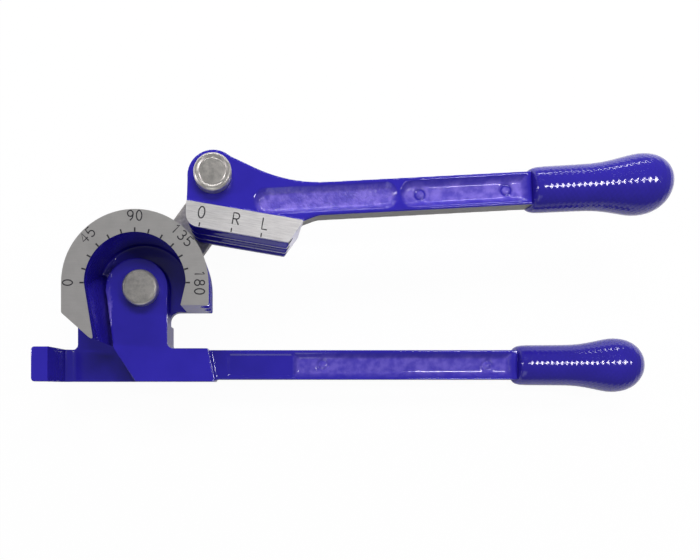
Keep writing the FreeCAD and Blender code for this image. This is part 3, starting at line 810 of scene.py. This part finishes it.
@dataclass
class FormerCasting(Casting):
    """Former wheel, neck, hook and handle in one casting.

    Attributes:
        middle: Centre line of the handle.
        face: Front of the handle.
        finger: Inner face of the hook's finger, and the far limit of its ribs.
        arm_top: Front of the arm that carries the finger.
        dimples: Ejector marks along the handle.
        ring_inner: Inner radius of the graduated ring.
        ring_slant: Slant of the hollow's left side below the pivot.
        web_top: Floor of the wheel's hollow.
        bar_left: Left side of the bar.
        hollow_low: Lower end of the wheel's hollow.
        hollow_high: Upper end of its sloping wall.
        wall_rise: How far that wall rises over the web.
        cut_limit: How far below the face the handle is reshaped.
        bare_edge: The hook is bare only below this, along Y.
        bare_top: Height below which it is bare.
        troughs: Hollows in the handle's face.
    """

    node: str = "former_handle"
    body: Body = Body.FORMER
    slot: Slot = Slot.FORMER_ENAMEL
    middle: float = -37.1 * MM
    face: float = 19.05 * MM
    finger: Point2 = (-41.2 * MM, -35.2 * MM)
    arm_top: float = 22.4 * MM
    dimples: tuple[float, ...] = (91.2 * MM, 176.8 * MM)
    ring_inner: float = 23.5 * MM
    ring_slant: float = 0.153
    web_top: float = 26.0 * MM
    bar_left: float = -15.0 * MM
    hollow_low: float = -30.0 * MM
    hollow_high: float = 9.0 * MM
    wall_rise: float = 22.0 * MM
    cut_limit: float = 4.5 * MM
    bare_edge: float = -44.0 * MM
    bare_top: float = 20.0 * MM
    troughs: tuple[Trough, ...] = (
        Trough(41.5 * MM, 79.0 * MM, 6.2 * MM, 0.7 * MM, 1.2 * MM),
        Trough(75.0 * MM, 189.0 * MM, 6.6 * MM),
    )

    def model(self, points: np.ndarray) -> np.ndarray:
        """Flat inner face on the finger, sloped hollow, troughs and dimples on the handle."""
        near, far = self.finger
        face = (points[:, 0] > near) & (points[:, 0] < far) & (points[:, 2] > self.arm_top)
        points[face, 0] = near
        across = points[:, 1] - self.middle
        sink(points, points[:, 0], across, self.troughs, self.face, self.face - self.cut_limit)
        ring_marks(points, points[:, 0], across, self.dimples, self.face - self.cut_limit)
        self.slope_hollow(points)
        return points

    def slope_hollow(self, points: np.ndarray) -> None:
        """Give the left side of the wheel's hollow a wall that sweeps down to the web."""
        x, y, z = points.T
        edge = np.sqrt(np.maximum(self.ring_inner ** 2 - y * y, 0.0))
        left = np.where(y > 0.0, -edge, -self.ring_inner - self.ring_slant * y)
        inside = (x > left - 0.4 * MM) & (x < self.bar_left) & (y > self.hollow_low) & (y < self.hollow_high)
        inside &= (z > self.web_top - 1.5 * MM) & (z < self.web_top + 23.0 * MM)
        share = np.clip((self.bar_left - x) / (self.bar_left - left), 0.0, 1.0)
        rise = self.wall_rise * share * share * smooth_step(-y, -9.0 * MM, 2.0 * MM)
        points[inside, 2] = np.maximum(z, self.web_top + rise)[inside]

    def masks(self, points: np.ndarray, normals: np.ndarray) -> dict[str, np.ndarray]:
        """Bare lower edge of the hook, and painted reflection on the trough's floor and on the left wall of
        the wheel hollow.
        """
        x, y, z = points.T
        across = y - self.middle
        floor = self.troughs[1].fall(x, across) / self.troughs[1].depth
        up = smooth_step(normals[:, 2], 0.5, 0.9)
        front = smooth_step(z, self.face - 4.0 * MM, self.face - 3.5 * MM)
        low = smooth_step(-normals[:, 1], 0.5, 0.8) * (x < 0.0) * (y < self.bare_edge) * (z < self.bare_top)
        hollow = (x < self.bar_left) & (x > -self.ring_inner) & (y > self.hollow_low)
        hollow &= (z > self.web_top - 1.5 * MM) & (z < self.web_top + 24.0 * MM)
        # Painted reflection: lilac sheen on the hollow's left wall and on the trough's up-facing floor.
        sheen = 0.8 * hollow * smooth_step(-y, -4.0 * MM, 14.0 * MM) * smooth_step(normals[:, 2], 0.15, 0.6)
        return {"bare": 0.9 * low, "pits": 0.9 * hollow, "painted_sheen": np.maximum(0.50 * floor * front * up, sheen)}


@dataclass
class ShoeCasting(Casting):
    """Forming shoe and its handle in one casting.

    Attributes:
        face: Front of the handle.
        bare_from: Where the handle's lower side begins to be bare.
        dimples: Ejector marks along the handle.
        troughs: Hollows in the handle's face.
    """

    node: str = "shoe_handle"
    body: Body = Body.SHOE
    slot: Slot = Slot.SHOE_ENAMEL
    face: float = 53.0 * MM
    bare_from: float = 34.0 * MM
    dimples: tuple[float, ...] = (95.8 * MM, 136.0 * MM)
    troughs: tuple[Trough, ...] = (
        Trough(18.0 * MM, 85.2 * MM, 6.3 * MM, round_start=True, round_end=True),
        Trough(85.8 * MM, 145.4 * MM, 6.3 * MM, round_start=True),
    )

    def along_handle(self, points: np.ndarray) -> tuple[np.ndarray, np.ndarray]:
        """Distance along the handle and from its centre line."""
        x, y = (points[:, axis] - middle("shoe_pivot_pin")[axis] for axis in (0, 1))
        cos, sin = math.cos(HANDLE_TURN), math.sin(HANDLE_TURN)
        return x * cos + y * sin, y * cos - x * sin + HANDLE_DROP

    def model(self, points: np.ndarray) -> np.ndarray:
        """Troughs and ring marks in the handle's face."""
        along, across = self.along_handle(points)
        sink(points, along, across, self.troughs, self.face, self.face - 7.5 * MM)
        ring_marks(points, along, across, self.dimples, self.face - 4.0 * MM)
        return points

    def masks(self, points: np.ndarray, normals: np.ndarray) -> dict[str, np.ndarray]:
        """Bare lower side of the handle, pitted first trough, and painted reflection on the trough floors."""
        along, across = self.along_handle(points)
        floor = np.max([trough.fall(along, across) / trough.depth for trough in self.troughs], 0)
        front = smooth_step(points[:, 2], self.face - 3.2 * MM, self.face - 2.8 * MM)
        below = points[:, 2] < self.face - 1.0 * MM
        side = smooth_step(-normals[:, 1], 0.55, 0.8) * (along > self.bare_from) * below
        pitted = np.clip(self.troughs[0].inset(along, across) / (2.0 * MM), 0.0, 1.0) * front
        up = smooth_step(normals[:, 2], 0.5, 0.9)
        # The haze share paints a reflection on the up-facing trough floors.
        return {"bare": side, "pits": 0.8 * pitted, "painted_sheen": 0.85 * floor * front * up}


# ----------------------------------------------------------
# Marks


def arc(centre: Point2, radii: Point2, start: float, end: float, steps: int = 12) -> list[Point2]:
    """Points along part of an ellipse, with angles in degrees."""
    turns = [math.radians(start + (end - start) * index / steps) for index in range(steps + 1)]
    return [(centre[0] + radii[0] * math.cos(turn), centre[1] + radii[1] * math.sin(turn)) for turn in turns]


STROKES: dict[str, list[list[Point2]]] = {
    "|": [[(0.30, 0.0), (0.30, 1.0)]],
    "0": [arc((0.30, 0.50), (0.27, 0.50), 0, 360, 20)],
    "1": [[(0.12, 0.80), (0.32, 1.0), (0.32, 0.0)]],
    "3": [arc((0.28, 0.75), (0.25, 0.25), 150, -90) + arc((0.28, 0.26), (0.29, 0.26), 90, -150)],
    "4": [[(0.46, 0.0), (0.46, 1.0), (0.0, 0.32), (0.64, 0.32)]],
    "5": [[(0.55, 1.0), (0.10, 1.0), (0.06, 0.56)] + arc((0.28, 0.30), (0.30, 0.30), 135, -140)],
    "8": [arc((0.30, 0.76), (0.22, 0.24), 0, 360, 16), arc((0.30, 0.27), (0.28, 0.27), 0, 360, 16)],
    "9": [arc((0.30, 0.70), (0.28, 0.30), 0, 360, 16), [(0.58, 0.70), (0.52, 0.28), (0.26, 0.0)]],
    "L": [[(0.08, 1.0), (0.08, 0.0), (0.55, 0.0)]],
    "R": [[(0.05, 0.0), (0.05, 1.0), (0.32, 1.0)] + arc((0.32, 0.74), (0.26, 0.26), 90, -90) + [(0.05, 0.48)],
          [(0.30, 0.48), (0.60, 0.0)]],
}


@dataclass
class Marks:
    """Stamped figures and ticks on a marked face.

    Attributes:
        face: Height of the face.
        depth: How far the dark filling stands out of the face.
        line: Width of a stroke.
        tick_line: Width of a tick on the dial.
        advance: Step from one figure to the next, as a share of the height.
    """

    face: float
    depth: float = 0.03 * MM
    line: float = 0.60 * MM
    tick_line: float = 0.75 * MM
    advance: float = 0.88

    def word(self, text: str, height: float, centre: Point2, turn: float) -> bpy.types.Mesh:
        """Mesh of a figure or letter group.

        Args:
            text: Figures or letters.
            height: Height of a figure.
            centre: Middle of the group.
            turn: Angle of the group's baseline.

        Returns:
            The mesh, in its place.
        """
        curve = bpy.data.curves.new("stroke", "CURVE")
        curve.dimensions = "3D"
        curve.bevel_depth = self.line / 2
        curve.bevel_resolution = 1
        curve.use_fill_caps = True
        width = (len(text) - 1) * self.advance + 0.6
        for index, sign in enumerate(text):
            for stroke in STROKES[sign]:
                spline = curve.splines.new("POLY")
                spline.points.add(len(stroke) - 1)
                for point, (across, up) in zip(spline.points, stroke):
                    x = (across + index * self.advance - width / 2) * height
                    point.co = (x, (up - 0.5) * height, 0.0, 1.0)
        item = bpy.data.objects.new("stroke", curve)
        bpy.context.scene.collection.objects.link(item)
        mesh = baked(item)
        bpy.data.objects.remove(item)
        flat = Matrix.Diagonal((1.0, 1.0, 2.0 * self.depth / self.line, 1.0))
        stand = Matrix.Translation((*centre, self.face)) @ Matrix.Rotation(turn, 4, "Z") @ flat
        mesh.transform(stand)
        return mesh

    def gather(self, name: str, meshes: Sequence[bpy.types.Mesh]) -> bpy.types.Object:
        """One object from several meshes."""
        work = bmesh.new()
        for mesh in meshes:
            work.from_mesh(mesh)
        joined = bpy.data.meshes.new(name)
        work.to_mesh(joined)
        work.free()
        return new_object(name, joined)

    def tick_program(self, count: int, start: float, step: float, radius: float, length: float) -> NodeProgram:
        """Geometry Nodes tree that sets ticks round an arc."""
        return NodeProgram("tick_ring", {
            "Count": ("NodeSocketInt", count),
            "Start": ("NodeSocketFloat", start),
            "Step": ("NodeSocketFloat", step),
            "Radius": ("NodeSocketFloat", radius),
            "Length": ("NodeSocketFloat", length),
            "Width": ("NodeSocketFloat", self.tick_line),
            "Depth": ("NodeSocketFloat", 2.0 * self.depth),
            "Height": ("NodeSocketFloat", self.face),
        })

    def arc_ticks(self, name: str, count: int, start: float, step: float, radius: float, length: float,
                  material: bpy.types.Material) -> bpy.types.Object:
        """Ticks at equal angles round the pivot.

        Args:
            name: Object name.
            count: Number of ticks.
            start: Angle of the first tick.
            step: Angle between ticks.
            radius: Inner end of the ticks.
            length: Length of a tick.
            material: Their material.

        Returns:
            The object.
        """
        program = self.tick_program(count, start, step, radius, length)
        line = program.node("GeometryNodeMeshLine", {"Count": program.input("Count")})
        index = program.node("GeometryNodeInputIndex")
        turned = program.maths("MULTIPLY", index, program.input("Step"))
        angle = program.maths("ADD", turned, program.input("Start"))
        half = program.maths("MULTIPLY", program.input("Length"), 0.5)
        reach = program.maths("ADD", program.input("Radius"), half)
        across = program.maths("MULTIPLY", reach, program.maths("COSINE", angle))
        up = program.maths("MULTIPLY", reach, program.maths("SINE", angle))
        spot = program.node("ShaderNodeCombineXYZ", {0: across, 1: up, 2: program.input("Height")})
        placed = program.node("GeometryNodeSetPosition", {"Geometry": line, "Position": spot})
        size = program.node("ShaderNodeCombineXYZ", {0: program.input("Length"), 1: program.input("Width"),
                                                     2: program.input("Depth")})
        bar = program.node("GeometryNodeMeshCube", {"Size": size})
        facing = program.node("ShaderNodeCombineXYZ", {2: angle})
        ring = program.node("GeometryNodeInstanceOnPoints",
                            {"Points": placed, "Instance": bar, "Rotation": facing})
        return new_object(name, program.run(name, ring, material))


# ----------------------------------------------------------
# Grips


@dataclass
class Grip:
    """Moulded grip with a slim neck, a swelling end and a fine raised pattern.

    Attributes:
        node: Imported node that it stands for.
        body: Body that it rides on.
        start: Mouth of the grip, on its axis.
        lean: Angle of the handle about Z.
        pitch: Spacing of the rows of beads along the grip.
        relief: Height of the beads.
        phase: Phase of the bead pattern round the axis.
        plain_end: Where the pattern ends.
        plain_mouth: Where the pattern begins.
        rows: Points along the grip.
        segments: Points round it.
        columns: Columns of beads round it.
        profile: Distance from the mouth and radius at points along the grip.
    """

    node: str
    body: Body
    start: Vector
    lean: float
    pitch: float = 1.25 * MM
    relief: float = 0.085 * MM
    phase: float = 0.0
    plain_end: float = 57.0 * MM
    plain_mouth: float = 3.0 * MM
    rows: int = 400
    segments: int = 220
    columns: int = 44
    profile: tuple[Point2, ...] = (
        (0.0, 0.0), (0.0, 8.4), (0.3, 9.2), (1.0, 9.8), (3.0, 10.3), (6.0, 10.5), (14.0, 10.55), (22.0, 10.6),
        (28.0, 10.7), (33.0, 11.05), (38.0, 11.8), (42.0, 12.6), (46.0, 13.45), (49.0, 13.95), (51.5, 14.08),
        (54.0, 13.9), (56.5, 13.35), (59.0, 12.3), (61.0, 10.95), (62.8, 9.1), (64.2, 6.9), (65.1, 4.5),
        (65.5, 2.2), (65.6, 0.0),
    )

    def outline(self, rows: int) -> tuple[np.ndarray, np.ndarray]:
        """Distances and radii of evenly spread points along the profile."""
        spots = np.array(self.profile) * MM
        run = np.concatenate([[0.0], np.cumsum(np.hypot(*np.diff(spots, axis=0).T))])
        even = np.linspace(0.0, run[-1], rows)
        along, radius = np.interp(even, run, spots[:, 0]), np.interp(even, run, spots[:, 1])
        for _ in range(3):
            radius[1:-1] = 0.25 * radius[:-2] + 0.5 * radius[1:-1] + 0.25 * radius[2:]
            along[1:-1] = 0.25 * along[:-2] + 0.5 * along[1:-1] + 0.25 * along[2:]
        return along, radius

    def build(self, material: bpy.types.Material) -> bpy.types.Object:
        """Make the grip's piece."""
        rows, segments = self.rows, self.segments
        along, radius = self.outline(rows)
        angles = np.arange(segments) * (2.0 * math.pi / segments)
        grid_u, grid_t = np.meshgrid(along, angles, indexing="ij")
        radii = np.repeat(radius[:, None], segments, 1)
        wave = np.cos(math.pi * grid_u / self.pitch) * np.cos(0.5 * self.columns * grid_t + self.phase)
        edge = smooth_step(grid_u, self.plain_mouth, self.plain_mouth + 2.0 * MM)
        edge *= 1.0 - smooth_step(grid_u, self.plain_end - 3.0 * MM, self.plain_end)
        radii = radii + edge * (wave * 0.5 - 0.5) * self.relief
        lean = Matrix.Rotation(self.lean, 3, "Z")
        local = np.stack([grid_u, radii * np.cos(grid_t), radii * np.sin(grid_t)], 2).reshape(-1, 3)
        points = local @ np.array(lean).T + np.array(self.start)
        faces = [(row * segments + index, row * segments + (index + 1) % segments,
                  (row + 1) * segments + (index + 1) % segments, (row + 1) * segments + index)
                 for row in range(rows - 1) for index in range(segments)]
        mesh = mesh_of(self.node + "_sleeve", points, faces)
        shade(mesh, 60.0)
        item = new_object(self.node + "_sleeve", mesh)
        return finish_piece(item, self.body, Slot.GRIP_VINYL, material, self.node)


# ----------------------------------------------------------
# Pivots and link


@dataclass
class Pivot:
    """Pin, spacer, washer, lock nut and nylon ring on one axis.

    Attributes:
        side: First word of the nodes' names.
        pin_body: Body that the pivot rides on.
        nut_turn: Turn of the nut about its axis.
        shank: Radius of the pin's shank.
        groove: Place of the ring in the head, as a share of its radius.
        groove_half: Half the width of that ring.
        thread: Radius of the threaded end.
        pitch: Pitch of the thread.
        segments: Points round the pin and the rings.
        spacer: Radius of the spacer.
        washer: Radius of the washer.
        nut_across: Nut, across its flats.
        collar: Radius of the nut's collar and of its nylon ring.
    """

    side: str
    pin_body: Body
    nut_turn: float
    shank: float = 6.0 * MM
    groove: float = 0.74
    groove_half: float = 0.5 * MM
    thread: float = 5.0 * MM
    pitch: float = 1.5 * MM
    segments: int = 96
    spacer: float = 10.0 * MM
    washer: float = 10.5 * MM
    nut_across: float = 17.0 * MM
    collar: float = 6.8 * MM

    @property
    def head(self) -> float:
        """Radius of the pin's head."""
        low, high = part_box(self.side + "_pivot_pin")
        return (high.x - low.x) / 2

    def centre(self) -> Point2:
        """Where the pivot's axis stands."""
        return middle(self.side + "_pivot_pin")[:2]

    def levels(self, name: str) -> tuple[float, float]:
        """Bottom and top of one of the pivot's nodes."""
        low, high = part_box(f"{self.side}_{name}")
        return low.z, high.z

    def put(self, name: str, mesh: bpy.types.Mesh, slot: Slot,
            material: bpy.types.Material) -> bpy.types.Object:
        """Shade a piece of the pivot and let it stand for its node."""
        shade(mesh, 35.0)
        item = new_object(f"{self.side}_{name}_piece", mesh)
        return finish_piece(item, self.pin_body, slot, material, f"{self.side}_{name}")

    def pin(self, material: bpy.types.Material) -> bpy.types.Object:
        """Pin with a turned head, a plain shank and a threaded end."""
        bottom, top = self.levels("pivot_pin")
        seat = top - 6.0 * MM
        shoulder = self.levels("pivot_washer")[1]
        reach, wide = self.head * self.groove, self.groove_half
        head = [(reach - wide, top - 0.30 * MM, 0.25 * MM), (reach - 0.4 * wide, top - 0.55 * MM, 0.1 * MM),
                (reach + wide, top - 0.20 * MM, 0.2 * MM), (self.head - 0.2 * MM, top - 0.05 * MM, 0.0)]
        profile: list[Point2] = [(0.0, top), (0.35 * self.head, top - 0.04 * MM)]
        profile += rounded([(0.35 * self.head, top - 0.04 * MM, 0.0), *head[:3],
                            (self.head - 1.0 * MM, top - 0.05 * MM, 0.3 * MM),
                            (self.head, top - 0.9 * MM, 0.5 * MM), (self.head, seat + 0.3 * MM, 0.0)], 4)[1:]
        profile += [(self.head - 0.3 * MM, seat), (self.shank, seat), (self.shank, shoulder),
                    (self.thread, shoulder)]
        height = shoulder - 0.4 * MM
        while height - self.pitch > bottom + 0.6 * MM:
            profile += [(self.thread, height), (self.thread - 0.35 * MM, height - self.pitch / 2)]
            height -= self.pitch
        profile += [(self.thread, height), (self.thread - 0.8 * MM, bottom), (0.0, bottom)]
        mesh = lathe(self.side + "_pin", profile, self.segments, self.centre())
        return self.put("pivot_pin", mesh, Slot.PIN_STEEL, material)

    def disc(self, name: str, inner: float, outer: float, slot: Slot, material: bpy.types.Material,
             ease: float = 0.2 * MM) -> bpy.types.Object:
        """Flat ring with eased edges."""
        bottom, top = self.levels(name)
        ease = min(ease, (top - bottom) / 3)
        corners = [(inner, bottom, ease), (outer, bottom, ease), (outer, top, ease), (inner, top, ease)]
        mesh = lathe(f"{self.side}_{name}", rounded(corners), self.segments, self.centre())
        return self.put(name, mesh, slot, material)

    def nut(self, material: bpy.types.Material) -> bpy.types.Object:
        """Lock nut with chamfered corners and a rounded collar round its nylon ring."""
        bottom, top = self.levels("lock_nut")
        flat, collar = self.nut_across / 2, self.collar
        chamfer = math.tan(math.radians(60.0))

        def radii(angles: np.ndarray, radius: float, height: float) -> np.ndarray:
            """Hexagon cut by a cone at both ends."""
            if radius < flat * 0.9:
                return np.full(len(angles), radius)
            side = np.mod(angles - self.nut_turn, math.pi / 3) - math.pi / 6
            hexagon = flat / np.cos(side)
            near_top = flat * 0.97 + (top - height) * chamfer
            near_bottom = flat * 0.93 + (height - bottom) * chamfer * 0.55
            return np.minimum(hexagon, min(near_top, near_bottom))

        ring = self.levels("nut_ring")[1]
        heights = [bottom, bottom + 0.3 * MM, bottom + 0.7 * MM, bottom + 1.2 * MM, bottom + 2.0 * MM,
                   bottom + 3.0 * MM, top - 1.2 * MM, top - 0.8 * MM, top - 0.4 * MM, top]
        profile = [(self.thread, top)]
        profile += [(flat, height) for height in reversed(heights)]
        profile += [(collar, bottom), (collar, ring), (self.thread, ring)]
        mesh = lathe(self.side + "_nut", profile, 180, self.centre(), radii)
        return self.put("lock_nut", mesh, Slot.ZINC_STEEL, material)

    def build(self, steel: bpy.types.Material, zinc: bpy.types.Material, nylon: bpy.types.Material) -> None:
        """Make the pivot's five pieces."""
        clear = 0.05 * MM
        self.pin(steel)
        self.disc("pivot_spacer", self.shank + clear, self.spacer, Slot.ZINC_STEEL, zinc)
        self.disc("pivot_washer", self.thread, self.washer, Slot.ZINC_STEEL, zinc, 0.3 * MM)
        self.nut(zinc)
        self.disc("nut_ring", self.thread, self.collar, Slot.NYLON, nylon, 0.4 * MM)


@dataclass
class LinkPlate:
    """Steel bar that joins the two pivots.

    Attributes:
        edge: Width of its broken edges.
    """

    edge: float = 0.5 * MM

    def build(self, material: bpy.types.Material) -> bpy.types.Object:
        """Make the link's piece, its edges broken."""
        mesh = bpy.data.meshes.new("link_bar")
        work = bmesh.new()
        work.from_mesh(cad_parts["link_plate"].data)
        bmesh.ops.remove_doubles(work, verts=work.verts, dist=0.001 * MM)
        bmesh.ops.dissolve_limit(work, angle_limit=math.radians(1.0), verts=work.verts, edges=work.edges)
        work.to_mesh(mesh)
        work.free()
        settings = {"width": self.edge, "segments": 3, "limit_method": "ANGLE",
                    "angle_limit": math.radians(50.0)}
        mesh = with_modifiers(mesh, [("BEVEL", settings), ("TRIANGULATE", {})])
        mesh.name = "link_bar"
        shade(mesh, 30.0)
        item = new_object("link_bar", mesh)
        return finish_piece(item, Body.LINK, Slot.LINK_STEEL, material, "link_plate")


# ----------------------------------------------------------
# Studio


@dataclass
class Studio:
    """Pale floor, soft lamps and the camera.

    Attributes:
        eye: Where the camera stands.
        lens: Focal length in millimetres on a 36 mm sensor.
        shift: Sideways and upward shift of the framing.
        floor_size: Side of the floor.
        paper: Share of the light that the floor gives back.
        glow: How white the floor shows.
        ambient: Strength of the even light.
        reflected: How much of the floor's white glossy surfaces show.
    """

    eye: tuple[float, float, float] = (53.1 * MM, -47.2 * MM, 338.6 * MM)
    lens: float = 31.8
    shift: Point2 = (0.143, 0.15)
    floor_size: float = 6.0
    paper: float = 0.80
    glow: float = 0.97
    ambient: float = 0.22
    reflected: float = 0.15

    def camera(self) -> None:
        """Set the camera, which looks straight down."""
        data = bpy.data.cameras.new("camera")
        data.lens = self.lens
        data.sensor_width = 36.0
        data.shift_x, data.shift_y = self.shift
        data.clip_start, data.clip_end = 0.01, 20.0
        item = bpy.data.objects.new("camera", data)
        item.location = self.eye
        bpy.context.scene.collection.objects.link(item)
        bpy.context.scene.camera = item

    def lamp(self, name: str, place: Sequence[float], size: Point2, power: float, colour: Colour,
             aim_at: Point2 = (80.0 * MM, 0.0), mirrored: bool = True) -> None:
        """Add an area lamp that faces the tool.

        Args:
            name: Lamp name.
            place: Where it stands.
            size: Its width and height.
            power: Watts.
            colour: Its colour.
            aim_at: Point of the floor that it faces.
            mirrored: Whether glossy surfaces show it.
        """
        data = bpy.data.lights.new(name, "AREA")
        data.shape = "RECTANGLE"
        data.size, data.size_y = size
        data.energy = power
        data.color = colour
        item = bpy.data.objects.new(name, data)
        item.location = place
        aim = Vector((*aim_at, 0.0)) - Vector(place)
        item.rotation_euler = aim.to_track_quat("-Z", "Y").to_euler()
        item.visible_glossy = mirrored
        bpy.context.scene.collection.objects.link(item)

    def floor(self) -> None:
        """Lay the floor, which shows white and keeps the tool's shadow."""
        half = self.floor_size / 2
        corners = np.array([(-half, -half, 0), (half, -half, 0), (half, half, 0), (-half, half, 0)])
        mesh = mesh_of("floor", corners - np.array([0, 0, 0.05 * MM]), [(0, 1, 2, 3)])
        item = new_object("floor", mesh)
        graph = Graph("paper")
        path = graph.node("ShaderNodeLightPath").socket.node.outputs
        seen = Wire(graph, path["Is Camera Ray"]).maximum(self.reflected * Wire(graph, path["Is Glossy Ray"]))
        lit = graph.node("ShaderNodeBsdfDiffuse", {"Color": (self.paper,) * 3 + (1.0,)})
        white = graph.node("ShaderNodeEmission", {"Color": (1.0, 1.0, 1.0, 1.0), "Strength": 1.0})
        shown = graph.node("ShaderNodeMixShader", {0: seen * self.glow, 1: lit, 2: white})
        graph.node("ShaderNodeOutputMaterial", {0: shown})
        mesh.materials.append(graph.material)

    def sky(self) -> None:
        """Even light from all round, white where it is seen."""
        world = bpy.data.worlds.new("studio")
        bpy.context.scene.world = world
        world.use_nodes = True
        tree = world.node_tree
        tree.nodes.clear()
        path = tree.nodes.new("ShaderNodeLightPath")
        mix = tree.nodes.new("ShaderNodeMixShader")
        out = tree.nodes.new("ShaderNodeOutputWorld")
        tree.links.new(path.outputs["Is Camera Ray"], mix.inputs[0])
        lights = (((0.95, 0.96, 1.0, 1.0), self.ambient), ((1.0, 1.0, 1.0, 1.0), 1.0))
        for slot, (colour, strength) in enumerate(lights, 1):
            light = tree.nodes.new("ShaderNodeBackground")
            light.inputs[0].default_value = colour
            light.inputs[1].default_value = strength
            tree.links.new(light.outputs[0], mix.inputs[slot])
        tree.links.new(mix.outputs[0], out.inputs[0])

    def build(self) -> None:
        """Set up the floor, the light and the camera."""
        self.floor()
        self.sky()
        self.lamp("key", (0.08, 0.46, 0.66), (0.60, 0.20), 4.3, (1.0, 0.98, 0.97), mirrored=False)
        self.lamp("back", (0.10, 0.75, 0.30), (0.90, 0.03), 2.2, (1.0, 0.96, 1.0))
        self.lamp("strip", (0.46, 0.057, 0.55), (0.36, 0.020), 1.4, (1.0, 0.95, 1.0), (0.46, 0.056))
        self.lamp("side", (-0.75, 0.05, 0.45), (0.07, 0.25), 2.2, (1.0, 0.92, 1.0))
        self.lamp("fill", (-0.05, -0.70, 0.50), (0.50, 0.50), 0.9, (1.0, 1.0, 1.0))
        self.camera()
        bpy.context.scene.view_settings.view_transform = "Standard"


# ----------------------------------------------------------
# The tool


@dataclass
class ShoeFrame:
    """The shoe's own directions: its face runs along X, with the shoe pin at the origin.

    Attributes:
        tilt: Angle of the shoe's face about Z at rest.
        reach: Distance from the pin to the grip's mouth, along the handle.
    """

    tilt: float = math.radians(-9.75)
    reach: float = 147.1 * MM

    def world(self, spot: Point2) -> Point2:
        """A point of the shoe in the tool's frame."""
        x, y, _ = middle("shoe_pivot_pin")
        cos, sin = math.cos(self.tilt), math.sin(self.tilt)
        return (x + spot[0] * cos - spot[1] * sin, y + spot[0] * sin + spot[1] * cos)

    def grip_start(self, height: float) -> Vector:
        """Mouth of the grip, on its axis."""
        x, y, _ = middle("shoe_pivot_pin")
        cos, sin = math.cos(HANDLE_TURN), math.sin(HANDLE_TURN)
        return Vector((x + self.reach * cos + HANDLE_DROP * sin,
                       y + self.reach * sin - HANDLE_DROP * cos, height))


@dataclass
class TubeBender:
    """The whole tool.

    Attributes:
        shoe: The shoe's own directions.
        link_lean: Lean of the link at rest, in degrees, which its nut follows.
        dial_radius: Inner ends of the dial's ticks.
        figure_radius: Middle of the dial's figures.
        wide_figure_inset: How much nearer the pivot the widest figure stands.
        figure_height: Height of the dial's figures.
        letter_height: Height of the shoe's letters.
        tick_height: Length of the shoe's ticks.
    """

    shoe: ShoeFrame = field(default_factory=ShoeFrame)
    link_lean: float = 54.1
    dial_radius: float = 23.5 * MM
    figure_radius: float = 31.0 * MM
    wide_figure_inset: float = 1.1 * MM
    figure_height: float = 4.6 * MM
    letter_height: float = 5.3 * MM
    tick_height: float = 1.9 * MM

    def castings(self) -> None:
        """Former and shoe castings."""
        former, shoe = FormerCasting(), ShoeCasting()
        former.build(Enamel("former_enamel", former.faced, 0.0, streaks=0.15).material())
        shoe.build(Enamel("shoe_enamel", shoe.faced, -self.shoe.tilt, streaks=0.6,
                          bare_colour=(0.82, 0.82, 0.80)).material())

    def grips(self) -> None:
        """Both grips."""
        vinyl = Vinyl().material()
        start = Vector((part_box("lower_grip")[0].x, *middle("lower_grip")[1:]))
        Grip("lower_grip", Body.FORMER, start, 0.0, phase=1.6).build(vinyl)
        start = self.shoe.grip_start(middle("upper_grip")[2])
        Grip("upper_grip", Body.SHOE, start, HANDLE_TURN).build(vinyl)

    def pivots(self) -> None:
        """Both pivots and the link."""
        zinc = Steel("zinc_plate", (0.60, 0.60, 0.58), mottle=0.25, patch=3.0 * MM, rough=0.30).material()
        nylon = Plain("nylon", (0.80, 0.81, 0.78), 0.4).material()
        wheel = Pivot("wheel", Body.FORMER, math.radians(30.0), groove=0.90, groove_half=0.28 * MM)
        link = Pivot("shoe", Body.LINK, math.radians(30.0 + self.link_lean))
        for pivot in (wheel, link):
            head = Steel(pivot.side + "_pin_steel", rings=pivot.centre())
            pivot.build(head.material(), zinc, nylon)
        plate = Steel("link_steel", (0.50, 0.50, 0.47), mottle=0.8, patch=1.6 * MM, rough=0.5)
        LinkPlate().build(plate.material())

    def marks(self) -> None:
        """Figures and ticks on the dial and on the shoe."""
        ink = Plain("stamped_mark", (0.022, 0.022, 0.026), 0.7).material()
        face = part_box("former_handle")[1].z
        marks = Marks(face)
        words = []
        for text in ("0", "45", "90", "135", "180"):
            turn = math.radians(180.0 - float(text))
            radius = self.figure_radius - (self.wide_figure_inset if text == "180" else 0.0)
            spot = (radius * math.cos(turn), radius * math.sin(turn))
            words.append(marks.word(text, self.figure_height, spot, turn - math.pi / 2))
        figures = marks.gather("dial_figures", words)
        finish_piece(figures, Body.FORMER, Slot.FORMER_ENAMEL, ink)
        ticks = marks.arc_ticks("dial_ticks", 13, 0.0, math.radians(15.0), self.dial_radius, 2.0 * MM, ink)
        finish_piece(ticks, Body.FORMER, Slot.FORMER_ENAMEL, ink)
        letters = []
        signs = [("0", (-2.2, -18.0)), ("R", (13.9, -18.3)), ("L", (27.5, -18.3))]
        signs += [("|", (across, -23.7)) for across in (-2.3, 12.65, 26.6)]
        for text, spot in signs:
            place = self.shoe.world((spot[0] * MM, spot[1] * MM))
            height = self.tick_height if text == "|" else self.letter_height
            letters.append(marks.word(text, height, place, self.shoe.tilt))
        finish_piece(marks.gather("shoe_letters", letters), Body.SHOE, Slot.SHOE_ENAMEL, ink)

    def build(self) -> None:
        """Make every piece in order."""
        self.castings()
        self.grips()
        self.pivots()
        self.marks()


def main() -> None:
    """Build the tool and its studio."""
    logging.basicConfig(level=logging.INFO, format="%(name)s %(message)s")
    TubeBender().build()
    Studio().build()


if __name__ == "__main__":
    main()
